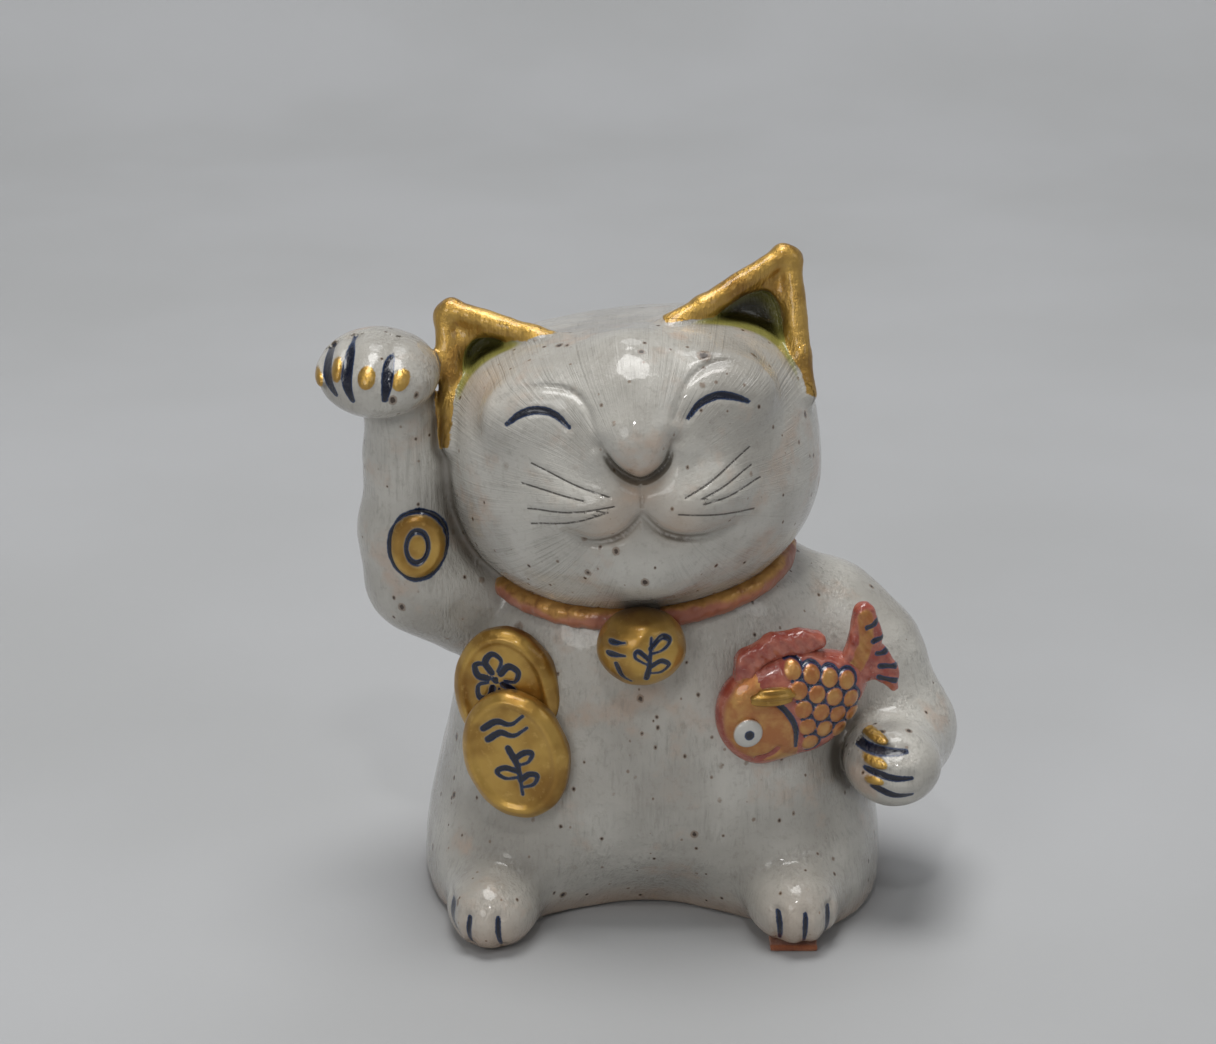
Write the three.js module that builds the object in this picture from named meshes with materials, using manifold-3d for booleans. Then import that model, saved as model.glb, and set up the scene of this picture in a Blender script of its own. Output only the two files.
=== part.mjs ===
// A hand-built stoneware beckoning cat, in millimetres, +Z up, facing -Y. The cat's left is +X.
// It is built up from pinched and rolled clay: a hollow trunk, a hollow head, limbs, and ornaments
// pressed on. The pieces are luted to each other, so every seam is a gap of `seam`.
import * as THREE from 'three';
import { mergeVertices } from 'three/addons/utils/BufferGeometryUtils.js';
import Module from 'manifold-3d';

const wasm = await Module();
wasm.setup();

// ---- driving dimensions ----
const seam = 0.3;                     // gap left between luted pieces

const trunkX = 5;                     // the trunk sits a little to the cat's left of the head
const trunkHalfWidth = 52.5;          // at the seat
const trunkFront = 39;                // from the trunk's axis to the belly
const trunkBack = 45.5;               // from the trunk's axis to the rump
const trunkHeight = 83;
const trunkWall = 6;
const scoopDepth = 19;                // how far the base curves back between the feet

const headX = 0.8;
const headY = -8;
const headLift = 17;                  // height of the head's middle above the trunk's top
const headHalfWidth = 41;
const headHalfDepth = 37;
const crownHeight = 34;               // from the head's middle up to the crown
const chinDepth = 32;                 // and down to the underside of the chin
const headWall = 5.5;
const headRoll = -6.5;                // degrees, the crown leans to the cat's right
const headPitch = -7;                 // degrees, the face looks up a little
const neckRadius = 17;                // the open neck between the trunk and the head

const earHalfWidth = 13.6;            // where the ear leaves the head
const rightEarHeight = 18.6;
const leftEarHeight = 20.4;
const rightEarDrop = 2.4;             // the right ear is set lower on the head
const earRim = 4.3;
const earSplay = 34.5;                // degrees outward from the head's own upright
const earThickness = 14;

const elbowRadius = 12.4;
const forearmRadius = 9.6;
const raisedPawRadii = [13.2, 14, 8.5];
const shoulderRadius = 17;
const restingForearmRadius = 12.4;
const restingPawRadii = [10.6, 12, 9.4];

const footSpread = 33;                // from the line between the feet to each foot
const footRadii = [10.6, 15.5, 9.6];
const footSink = 2.2;                 // how much of the foot's round is pressed flat
const padThickness = 1.6;             // levelling pad under the cat's left foot
const padWidth = 10.5;
const padLength = 12;
const tailRadius = 7;

const collarRadius = 2.7;
const bellRadii = [10, 9.3, 8.8];
const kobanHalfWidth = 11.8;
const kobanHalfHeight = 14.6;
const kobanThickness = 5;
const kobanStep = 2.2;                // how far the lower coin's face stands before the upper's
const medallionRadii = [6.8, 2.6, 8.8];
const fishHalfLength = 17.5;
const fishHalfHeight = 13;
const fishHalfThickness = 6.5;
const fishTilt = 13.5;                // degrees, the tail is held up
const finThickness = 4;

// ---- making solids ----
const radians = THREE.MathUtils.degToRad;
const mix = THREE.MathUtils.lerp;

// A closed geometry, moved by a matrix, as a solid that can be cut and joined.
function solid(geometry, matrix = new THREE.Matrix4()) {
  const loose = geometry.index ? geometry.toNonIndexed() : geometry;
  const plain = new THREE.BufferGeometry();
  plain.setAttribute('position', loose.getAttribute('position').clone());
  plain.applyMatrix4(matrix);
  const merged = mergeVertices(plain, 1e-4);
  return new wasm.Manifold(new wasm.Mesh({
    numProp: 3,
    vertProperties: merged.attributes.position.array,
    triVerts: new Uint32Array(merged.index.array),
  }));
}
const joined = (list) => list.reduce((all, next) => all.add(next));
const less = (from, ...cuts) => cuts.reduce((rest, cut) => rest.subtract(cut), from);

// The largest connected piece, which drops the slivers that a cut can leave behind.
function largest(shape) {
  return shape.decompose().reduce((best, next) => (next.volume() > best.volume() ? next : best));
}

function place(at, turn = [0, 0, 0], scale = [1, 1, 1]) {
  return new THREE.Matrix4().compose(
    new THREE.Vector3(...at),
    new THREE.Quaternion().setFromEuler(new THREE.Euler(...turn.map(radians), 'ZYX')),
    new THREE.Vector3(...scale),
  );
}

// A form of stacked rings. Each ring is { at, across, ahead, behind }: vectors from its middle to
// its side, front and back. The first and last rings are points. `corner` over 2 squares the rings.
function stack(rings, segments, corner = 2) {
  const profile = rings.map((_, i) => new THREE.Vector2(i % (rings.length - 1) ? 1 : 0, i));
  const geometry = new THREE.LatheGeometry(profile, segments);
  const position = geometry.getAttribute('position');
  const point = new THREE.Vector3();
  for (let i = 0; i < position.count; i++) {
    const { at, across, ahead, behind } = rings[Math.round(position.getY(i))];
    const [side, front] = [position.getX(i), position.getZ(i)];
    const bulge = (Math.abs(side) ** corner + Math.abs(front) ** corner) ** (-1 / corner);
    const reach = side || front ? bulge : 0;
    point.copy(at)
      .addScaledVector(across, side * reach)
      .addScaledVector(front > 0 ? ahead : behind, Math.abs(front) * reach);
    position.setXYZ(i, point.x, point.y, point.z);
  }
  return solid(geometry);
}

// An upright form from levels [height, halfWidth, front, back], made larger all round by `grow`.
function upright(levels, grow, segments, corner) {
  const last = levels.length - 1;
  return stack(levels.map(([height, halfWidth, front, back], i) => {
    const size = i % last ? grow : 0;
    const rise = i === last ? grow : mix(-grow, grow, i / last);
    return {
      at: new THREE.Vector3(0, 0, height + rise),
      across: new THREE.Vector3(halfWidth + size, 0, 0),
      ahead: new THREE.Vector3(0, -front - size, 0),
      behind: new THREE.Vector3(0, back + size, 0),
    };
  }), segments, corner);
}

// A rolled limb through points [x, y, z, radius], with round ends.
function limb(points, grow = 0, segments = 12, steps = 3) {
  const curve = new THREE.CatmullRomCurve3(points.map((p) => new THREE.Vector3(...p.slice(0, 3))));
  const count = (points.length - 1) * steps;
  const stations = Array.from({ length: count + 1 }, (_, i) => {
    const t = i / count;
    const k = Math.min(Math.floor(i / steps), points.length - 2);
    return {
      at: curve.getPoint(t),
      tangent: curve.getTangent(t),
      radius: mix(points[k][3], points[k + 1][3], i / steps - k) + grow,
    };
  });
  const cap = [0, 30, 62].map(radians);
  const [start, end] = [stations[0], stations[count]];
  const capStation = ({ at, tangent, radius }, angle, way) => ({
    at: at.clone().addScaledVector(tangent, way * radius * Math.cos(angle)),
    tangent,
    radius: radius * Math.sin(angle),
  });
  const all = [
    ...cap.map((angle) => capStation(start, angle, -1)),
    ...stations,
    ...cap.map((angle) => capStation(end, angle, 1)).reverse(),
  ];
  const across = new THREE.Vector3(0, 1, 0).cross(start.tangent).normalize();
  const rings = all.map(({ at, tangent, radius }) => {
    across.addScaledVector(tangent, -across.dot(tangent)).normalize();
    const ahead = across.clone().cross(tangent).multiplyScalar(radius);
    return { at, across: across.clone().multiplyScalar(radius), ahead, behind: ahead.clone().negate() };
  });
  return stack(rings, segments);
}

// An egg of clay with three radii.
function egg({ frame, radii, segments = 16 }, grow = 0) {
  const ball = new THREE.SphereGeometry(1, segments, Math.round(segments * 0.6));
  const size = new THREE.Vector3(...radii.map((radius) => radius + grow));
  return solid(ball, frame.clone().scale(size));
}

// A slab of even thickness from an outline drawn as seen from the front of its frame.
function slab(outline, thickness, frame, bevel = 0) {
  const geometry = new THREE.ExtrudeGeometry(outline, {
    depth: thickness - 2 * bevel,
    bevelEnabled: bevel > 0,
    bevelThickness: bevel,
    bevelSize: bevel,
    bevelOffset: -bevel,
    bevelSegments: 2,
    curveSegments: 7,
  });
  geometry.translate(0, 0, bevel - thickness / 2);
  geometry.rotateX(Math.PI / 2);
  return solid(geometry, frame);
}

function box(low, high) {
  const size = high.map((h, i) => h - low[i]);
  const middle = high.map((h, i) => (h + low[i]) / 2);
  return solid(new THREE.BoxGeometry(...size), place(middle));
}
const below = (height) => box([-200, -200, -200], [200, 200, height]);

// ---- trunk ----
// Shares of the seat's width and depth at each share of the height.
const trunkProfile = [
  [-0.2, 0, 0, 0],
  [-0.12, 0.9, 0.86, 0.88],
  [0, 0.99, 0.96, 0.96],
  [0.13, 1, 1, 1],
  [0.26, 0.965, 1.02, 1],
  [0.4, 0.91, 1.02, 0.955],
  [0.52, 0.87, 0.985, 0.89],
  [0.63, 0.83, 0.93, 0.81],
  [0.73, 0.79, 0.87, 0.73],
  [0.83, 0.73, 0.79, 0.65],
  [0.92, 0.61, 0.66, 0.54],
  [0.98, 0.38, 0.42, 0.34],
  [1, 0, 0, 0],
];
const trunkCorner = 2.5;
const trunkLevels = trunkProfile.map(([share, width, front, back]) => [
  share * trunkHeight,
  width * trunkHalfWidth,
  front * trunkFront,
  back * trunkBack,
]);
const trunkPart = (grow, segments) =>
  upright(trunkLevels, grow, segments, trunkCorner).translate([trunkX, 0, 0]);

// The values of a list of levels at one height between its ends.
function atLevel(levels, height) {
  const k = Math.max(1, levels.findIndex((level) => level[0] > height));
  const [low, high] = [levels[k - 1], levels[k]];
  return low.map((value, i) => mix(value, high[i], (height - low[0]) / (high[0] - low[0])));
}

// How far the trunk reaches forward at x and height z.
function chestY(x, z) {
  const [, halfWidth, front] = atLevel(trunkLevels, z);
  const share = Math.min(Math.abs(x - trunkX) / halfWidth, 0.98);
  return -front * (1 - share ** trunkCorner) ** (1 / trunkCorner);
}
function inTrunk([x, y, z], grow) {
  if (z >= trunkHeight) return false;
  const [, halfWidth, front, back] = atLevel(trunkLevels, z);
  const depth = y < 0 ? front : back;
  return (Math.abs(x - trunkX) / (halfWidth + grow)) ** trunkCorner
    + (Math.abs(y) / (depth + grow)) ** trunkCorner < 1;
}

// The base curves back between the feet.
const feetX = trunkX - 2.5;
const scoop = (grow) => egg({
  frame: place([feetX, -trunkFront - 43 + scoopDepth, -8]),
  radii: [38, 43, 42],
  segments: 24,
}, grow);
const thigh = (side, grow) => egg({
  frame: place([trunkX + side * (trunkHalfWidth - 20), -trunkFront + 21, 10], [0, 0, side * 14]),
  radii: [18.5, 24, 19],
}, grow);
const trunkSolid = (grow = 0, segments = 28) => joined([
  trunkPart(grow, segments),
  thigh(-1, grow),
  thigh(1, grow),
]).subtract(scoop(-grow));

// ---- head ----
const headZ = trunkHeight + headLift;
const headFrame = place([headX, headY, headZ], [headPitch, headRoll, 0]);
const onHead = (x, y, z) => new THREE.Vector3(x, y, z).applyMatrix4(headFrame).toArray();
const headProfile = [
  [-1, 0],
  [-0.93, 0.37],
  [-0.75, 0.66],
  [-0.5, 0.865],
  [-0.22, 0.975],
  [0.06, 1],
  [0.35, 0.985],
  [0.6, 0.93],
  [0.78, 0.835],
  [0.91, 0.67],
  [0.98, 0.42],
  [1, 0],
];
const headCorner = 2.15;
const headLevels = headProfile.map(([share, width]) => [
  share * (share < 0 ? chinDepth : crownHeight),
  width * headHalfWidth,
  width * headHalfDepth,
  width * headHalfDepth,
]);
const headPart = (grow, segments) =>
  upright(headLevels, grow, segments, headCorner).transform(headFrame.elements);
const onFace = (x, depth, z) => headFrame.clone().multiply(place([x + 1.2, depth - headHalfDepth, z]));
const muzzle = (grow) => joined([
  { frame: onFace(-9, 11, -4), radii: [14, 13.5, 10] },
  { frame: onFace(9, 11, -4), radii: [14, 13.5, 10] },
  { frame: onFace(0, 8, 5), radii: [7, 12.5, 8] },
].map((shape) => egg({ ...shape, segments: 12 }, grow)));
const headSolid = (grow = 0, segments = 26) => headPart(grow, segments).add(muzzle(grow));

const neckTop = headZ;
const neckBottom = trunkHeight - 30;
function openNeck() {
  const pipe = new THREE.CylinderGeometry(neckRadius, neckRadius, neckTop - neckBottom, 16);
  pipe.rotateX(Math.PI / 2);
  return solid(pipe, place([headX, headY + 6, (neckTop + neckBottom) / 2]));
}

// ---- ears ----
// Each is a thick cone pressed hollow from the front: side is -1 for the cat's right, 1 for its left.
function earSolid(side, earHeight, drop) {
  const frame = place(
    onHead(side * (headHalfWidth - 13.5), -3, crownHeight - 5.5 - drop),
    [headPitch, headRoll + side * earSplay, 0],
  );
  const back = earThickness - 4.5;
  const outer = upright([
    [-15, 0, 0, 0],
    [-14, 0.98 * earHalfWidth, 4, back - 1],
    [0, earHalfWidth, 4.5, back],
    [0.42 * earHeight, 0.64 * earHalfWidth, 4.5, 0.68 * back],
    [0.76 * earHeight, 0.35 * earHalfWidth, 4, 0.42 * back],
    [0.93 * earHeight, 0.2 * earHalfWidth, 2.4, 0.2 * back],
    [earHeight, 0, 0, 0],
  ], 0, 16, 2.2);
  const inside = earHalfWidth - earRim;
  const deep = back - 0.8 * earRim;
  const pocket = upright([
    [-7, 0, 0, 0],
    [-6, inside, 16, deep],
    [0, inside, 16, deep],
    [0.36 * earHeight, 0.5 * inside, 16, 0.66 * deep],
    [0.62 * earHeight, 0, 0, 0],
  ], 0, 14, 2.2);
  return largest(less(
    outer.transform(frame.elements),
    pocket.transform(frame.elements),
    headSolid(seam),
  ));
}

// ---- limbs ----
const raisedX = headX - headHalfWidth - forearmRadius + 0.4;
const wristZ = headZ + 0.4 * crownHeight;
const raisedArm = [
  [trunkX - 0.5 * trunkHalfWidth, -2, trunkHeight - 18, elbowRadius + 2],
  [raisedX + 13, -5, trunkHeight - 14, elbowRadius + 0.6],
  [raisedX + 3, -8, trunkHeight - 8.5, elbowRadius],
  [raisedX, -9, trunkHeight + 3, forearmRadius + 1],
  [raisedX + 0.4, -9.5, mix(trunkHeight, wristZ, 0.6), forearmRadius - 0.3],
  [raisedX - 0.6, -12, wristZ, forearmRadius - 0.9],
];
const raisedPaw = {
  frame: place([raisedX - 5, -20, wristZ + 11.8], [10, 4, -6]),
  radii: raisedPawRadii,
};

const elbowX = trunkX + trunkHalfWidth + 3;
const elbowZ = trunkHeight - 46;
const restingArm = [
  [trunkX + 0.52 * trunkHalfWidth, 1, trunkHeight - 22, shoulderRadius - 1],
  [trunkX + 0.7 * trunkHalfWidth, 0, trunkHeight - 26, shoulderRadius],
  [elbowX - 10, -3, elbowZ + 14, shoulderRadius - 1.5],
  [elbowX, -8, elbowZ, restingForearmRadius],
  [elbowX - 1, -19, elbowZ, restingForearmRadius - 2],
];
const restingPaw = {
  frame: place([elbowX - 3, -28, elbowZ + 0.8], [0, 0, 22]),
  radii: restingPawRadii,
};

const footY = -trunkFront + 4;
const footLift = (side) => (side > 0 ? padThickness + seam : 0);
const foot = (side) => ({
  frame: place(
    [feetX + side * footSpread, footY, footRadii[2] - footSink + footLift(side)],
    [0, 0, side * 6],
  ),
  radii: footRadii,
});
const tail = [
  [trunkX + 1, trunkBack - 4, 11, tailRadius],
  [trunkX + 13, trunkBack - 2.5, 13, tailRadius],
  [trunkX + 24, trunkBack - 6, 20, tailRadius - 1],
  [trunkX + 30, trunkBack - 12, 27, tailRadius - 2],
];
function levellingPad(grow = 0) {
  const x = feetX + footSpread;
  const y = footY - 5;
  return box(
    [x - padWidth / 2 - grow, y - padLength / 2 - grow, -grow],
    [x + padWidth / 2 + grow, y + padLength / 2 + grow, padThickness + grow],
  );
}

// ---- ornaments ----
// The collar is laid in the crease where the jaw meets the trunk. The angle runs round the head
// from the front, positive to the cat's left.
const collarNest = 0.95 * collarRadius;
function collarPoint(degrees) {
  const [across, ahead] = [Math.sin(radians(degrees)), Math.cos(radians(degrees))];
  const bulge = (Math.abs(across) ** headCorner + Math.abs(ahead) ** headCorner) ** (-1 / headCorner);
  let level = -0.95 * chinDepth;
  let point;
  do {
    const [, halfWidth, halfDepth] = atLevel(headLevels, level);
    const [wide, deep] = [halfWidth + collarNest, halfDepth + collarNest];
    point = onHead(across * bulge * wide, -ahead * bulge * deep, level);
    level += 0.2;
  } while (inTrunk(point, collarNest) && level < 0);
  return [...point, collarRadius];
}
function collar(from, to, count) {
  return Array.from({ length: count + 1 }, (_, i) => collarPoint(mix(from, to, i / count)));
}
const bell = {
  frame: place([headX + 1, collarPoint(0)[1] - 7, collarPoint(0)[2] - 5]),
  radii: bellRadii,
};

// Two oval coins hang on the right of the chest, the lower one over the upper one. They share the
// slope of the chest behind them.
const kobanX = trunkX - 30;
const kobanZ = trunkHeight - 34;
const chestTurn = Math.atan((chestY(kobanX + 4, kobanZ) - chestY(kobanX - 4, kobanZ)) / 8);
const chestLean = Math.atan((chestY(kobanX, kobanZ + 9) - chestY(kobanX, kobanZ - 9)) / 18);
function koban({ aside, above, roll, step }, grow = 0) {
  const turn = [-chestLean, 0, 0.55 * chestTurn].map(THREE.MathUtils.radToDeg);
  const frame = place([kobanX, chestY(kobanX, kobanZ), kobanZ], turn)
    .multiply(place([aside, -step - 0.3 * kobanThickness, above], [0, roll, 0]));
  const shape = new THREE.Shape()
    .absellipse(0, 0, kobanHalfWidth + grow, kobanHalfHeight + grow, 0, 2 * Math.PI);
  return slab(shape, kobanThickness + 2 * grow, frame, 0.9);
}
const upperKoban = { aside: -2.4, above: 6.4, roll: -8, step: 0 };
const lowerKoban = { aside: 1.4, above: -6.6, roll: -16, step: kobanStep };
const medallion = {
  frame: place([raisedX + 2.4, -9 - forearmRadius + 0.2, trunkHeight + 2], [0, 6, 0]),
  radii: medallionRadii,
};

const fishX = trunkX + 29.5;
const fishZ = trunkHeight - 28.6;
const fishFrame = place([fishX, chestY(fishX, fishZ) - 4, fishZ], [0, -fishTilt, 12]);
const inFish = (x, y, z) => fishFrame.clone().multiply(place([x, y, z]));
const fishBody = { frame: fishFrame, radii: [fishHalfLength, fishHalfThickness, fishHalfHeight] };
const pectoralFin = { frame: inFish(-4.6, -5.6, 5.6), radii: [5.4, 2.4, 2.4], segments: 12 };
const fishEye = { frame: inFish(-11.2, -4.3, -1.2), radii: [3.6, 2.4, 3.6], segments: 12 };

// Fin outlines in the fish's own frame: x to the tail, y up.
function outline(start, ...curves) {
  const shape = new THREE.Shape().moveTo(...start);
  curves.forEach((curve) => shape.quadraticCurveTo(...curve));
  return shape;
}
const top = fishHalfHeight;
const end = fishHalfLength;
const dorsalFin = outline(
  [-0.62 * end, 0.4 * top],
  [-0.6 * end, 1.02 * top, -0.3 * end, 1.2 * top],
  [0.25 * end, 1.42 * top, 0.62 * end, 1.12 * top],
  [0.74 * end, 0.98 * top, 0.66 * end, 0.4 * top],
);
const tailFin = outline(
  [0.66 * end, -0.38 * top],
  [0.9 * end, -0.66 * top, 1.26 * end, -0.6 * top],
  [1.34 * end, -0.1 * top, 1.22 * end, 0.2 * top],
  [1.28 * end, 0.8 * top, 1.16 * end, 1.14 * top],
  [0.94 * end, 1.24 * top, 0.9 * end, 0.8 * top],
  [0.9 * end, 0.45 * top, 0.66 * end, 0.3 * top],
);
const fin = (shape) => slab(shape, finThickness, fishFrame);

// ---- finishes ----
const finish = (color, roughness, metalness = 0) =>
  new THREE.MeshStandardMaterial({ color, roughness, metalness });
const glaze = finish('#d3d0c9', 0.28);
const gold = finish('#b98a35', 0.32, 0.85);
const collarClay = finish('#9a5a3a', 0.4, 0.3);
const fishGlaze = finish('#b5664a', 0.3, 0.2);
const eyeGlaze = finish('#dfe2de', 0.25);
const felt = finish('#9c4f28', 0.95);

// ---- assembly ----
const figure = new THREE.Group();
function add(name, shape, material) {
  const mesh = shape.getMesh();
  const geometry = new THREE.BufferGeometry();
  geometry.setAttribute('position', new THREE.BufferAttribute(mesh.vertProperties, 3));
  geometry.setIndex(new THREE.BufferAttribute(mesh.triVerts, 1));
  geometry.computeVertexNormals();
  const part = new THREE.Mesh(geometry, material);
  part.name = name;
  figure.add(part);
}

const trunkGap = trunkSolid(seam);
const headGap = headSolid(seam);
const raisedGap = limb(raisedArm, seam);
const restingGap = limb(restingArm, seam);
const restingPawGap = egg(restingPaw, seam);
const bellGap = egg(bell, seam);
const fishGap = egg(fishBody, seam);

const trunkHollow = less(
  trunkPart(-trunkWall, 20),
  scoop(trunkWall),
  headPart(trunkWall, 16),
);
const trunkShell = less(
  trunkSolid(), trunkHollow, headGap, openNeck(), below(0), levellingPad(seam),
);
const headShell = less(headSolid(), headPart(-headWall, 18), openNeck());

add('trunk_shell', largest(trunkShell), glaze);
add('head_shell', largest(headShell), glaze);
add('right_ear', earSolid(-1, rightEarHeight, rightEarDrop), gold);
add('left_ear', earSolid(1, leftEarHeight, 0), gold);
add('raised_right_arm', largest(less(limb(raisedArm), trunkGap, headGap)), glaze);
add('raised_right_paw', largest(less(egg(raisedPaw), raisedGap, headGap)), glaze);
add('left_arm', largest(less(limb(restingArm), trunkGap, headGap)), glaze);
add('left_paw', largest(less(egg(restingPaw), restingGap, trunkGap)), glaze);
add('right_foot', largest(less(egg(foot(-1)), trunkGap, below(0))), glaze);
add('left_foot', largest(less(egg(foot(1)), trunkGap, below(footLift(1)))), glaze);
add('bobtail', largest(less(limb(tail, 0, 12, 2), trunkGap)), glaze);
add('right_collar_strap', largest(less(
  limb(collar(-14, -82, 6), 0, 8, 1), trunkGap, headGap, raisedGap, bellGap,
)), collarClay);
add('left_collar_strap', largest(less(
  limb(collar(14, 240, 18), 0, 8, 1), trunkGap, headGap, raisedGap, restingGap, bellGap,
)), collarClay);
add('bell', largest(less(egg(bell), trunkGap, headGap)), gold);
add('upper_koban', largest(less(koban(upperKoban), trunkGap, raisedGap)), gold);
add('lower_koban', largest(less(koban(lowerKoban), trunkGap, koban(upperKoban, seam))), gold);
add('arm_medallion', largest(less(egg(medallion), raisedGap)), gold);
add('fish_body', largest(less(egg(fishBody), trunkGap, restingGap, restingPawGap)), fishGlaze);
add('fish_dorsal_fin', largest(less(fin(dorsalFin), fishGap, trunkGap, restingGap)), fishGlaze);
add('fish_tail_fin', largest(less(
  fin(tailFin), fishGap, trunkGap, restingGap, restingPawGap,
)), fishGlaze);
add('fish_pectoral_fin', largest(less(egg(pectoralFin), fishGap)), gold);
add('fish_eye', largest(less(egg(fishEye), fishGap)), eyeGlaze);
add('levelling_pad', levellingPad(), felt);

// The origin is the middle of the footprint, on the table.
const bounds = new THREE.Box3().setFromObject(figure);
const middle = bounds.getCenter(new THREE.Vector3());
figure.position.set(-middle.x, -middle.y, -bounds.min.z);
const cat = new THREE.Group();
cat.add(figure);

export default cat;
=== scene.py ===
import math
import bpy
import numpy as np
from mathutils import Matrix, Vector


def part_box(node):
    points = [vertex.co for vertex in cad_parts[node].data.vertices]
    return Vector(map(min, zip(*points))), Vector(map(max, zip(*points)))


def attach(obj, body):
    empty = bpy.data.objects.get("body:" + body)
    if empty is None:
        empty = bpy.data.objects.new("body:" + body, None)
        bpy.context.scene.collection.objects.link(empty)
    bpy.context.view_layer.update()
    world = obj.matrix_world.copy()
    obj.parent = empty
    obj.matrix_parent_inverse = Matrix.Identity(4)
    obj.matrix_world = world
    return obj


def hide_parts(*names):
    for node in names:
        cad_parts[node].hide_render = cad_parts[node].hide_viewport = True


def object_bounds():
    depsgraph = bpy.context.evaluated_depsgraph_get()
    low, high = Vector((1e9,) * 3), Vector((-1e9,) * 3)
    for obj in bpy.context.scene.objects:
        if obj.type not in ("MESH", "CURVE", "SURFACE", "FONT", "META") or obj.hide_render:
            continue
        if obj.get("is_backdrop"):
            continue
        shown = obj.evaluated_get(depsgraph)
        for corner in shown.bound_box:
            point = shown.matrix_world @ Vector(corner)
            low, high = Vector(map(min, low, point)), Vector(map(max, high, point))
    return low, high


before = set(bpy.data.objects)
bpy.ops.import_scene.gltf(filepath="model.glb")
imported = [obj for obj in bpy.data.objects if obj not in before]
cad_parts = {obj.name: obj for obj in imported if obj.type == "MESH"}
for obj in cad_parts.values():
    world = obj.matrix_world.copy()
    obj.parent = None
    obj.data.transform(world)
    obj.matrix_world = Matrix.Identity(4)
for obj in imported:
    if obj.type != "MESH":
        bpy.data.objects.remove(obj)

cadBox = [list(corner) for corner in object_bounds()]
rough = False
print("frame loaded")


def single(values):
    # single precision is plenty here, and quick
    return np.asarray(values, dtype=np.float32)


# ---- where things are, in millimetres ----
def boxOf(node):
    low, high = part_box(node)
    return np.array(low) * 1000, np.array(high) * 1000


def at(node, u=0, v=0, w=0, shift=(0, 0, 0)):
    # u, v, w run from -1 to 1 across the node's box
    low, high = boxOf(node)
    return (low + high) / 2 + (high - low) / 2 * np.array((u, v, w)) + np.array(shift)


def half(node):
    low, high = boxOf(node)
    return (high - low) / 2


def turned(degrees):
    # turned about x, then y, then z
    (a, b, c), (s, t, u) = np.cos(np.radians(degrees)), np.sin(np.radians(degrees))
    return (np.array([[c, -u, 0], [u, c, 0], [0, 0, 1]]) @ np.array([[b, 0, t], [0, 1, 0], [-t, 0, b]])
            @ np.array([[1, 0, 0], [0, a, -s], [0, s, a]]))


# ---- clay forms: each takes points and gives how far outside the form they are ----
def blob(p, centre, radii, turn=None):
    q = p - single(centre)
    if turn is not None:
        q = q @ single(turned(turn))
    r = single(radii)
    near = np.linalg.norm(q / r, axis=1)
    steep = np.linalg.norm(q / (r * r), axis=1)
    return near * (near - 1) / np.maximum(steep, 1e-4)


def blend(a, b, soft):
    # join two forms with a soft fillet
    mixed = np.clip(0.5 + 0.5 * (b - a) / soft, 0, 1)
    return b + (a - b) * mixed - soft * mixed * (1 - mixed)


def press(a, b, soft):
    # press form b out of form a, with a soft edge
    return -blend(-a, b, soft)


def roll(p, points, soft=0):
    # a rolled limb through points of x, y, z, radius
    distance = None
    for start, end in zip(points[:-1], points[1:]):
        a = single(start[:3])
        d = single(end[:3]) - a
        t = np.clip(((p - a) @ d) / (d @ d), 0, 1)
        link = np.linalg.norm(p - a - t[:, None] * d, axis=1) - (start[3] + t * (end[3] - start[3]))
        if distance is None:
            distance = link
        else:
            distance = blend(distance, link, soft) if soft else np.minimum(distance, link)
    return distance


def smoothLine(points, steps=6):
    # a smooth line through the given points
    points = np.asarray(points, dtype=float)
    padded = np.vstack([2 * points[0] - points[1], points, 2 * points[-1] - points[-2]])
    line = []
    for i in range(1, len(padded) - 2):
        a, b, c, d = padded[i - 1:i + 3]
        for t in np.arange(steps) / steps:
            line.append(0.5 * (2 * b + (c - a) * t + (2 * a - 5 * b + 4 * c - d) * t ** 2
                               + (3 * b - 3 * c + d - a) * t ** 3))
    line.append(points[-1])
    return np.array(line)


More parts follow.
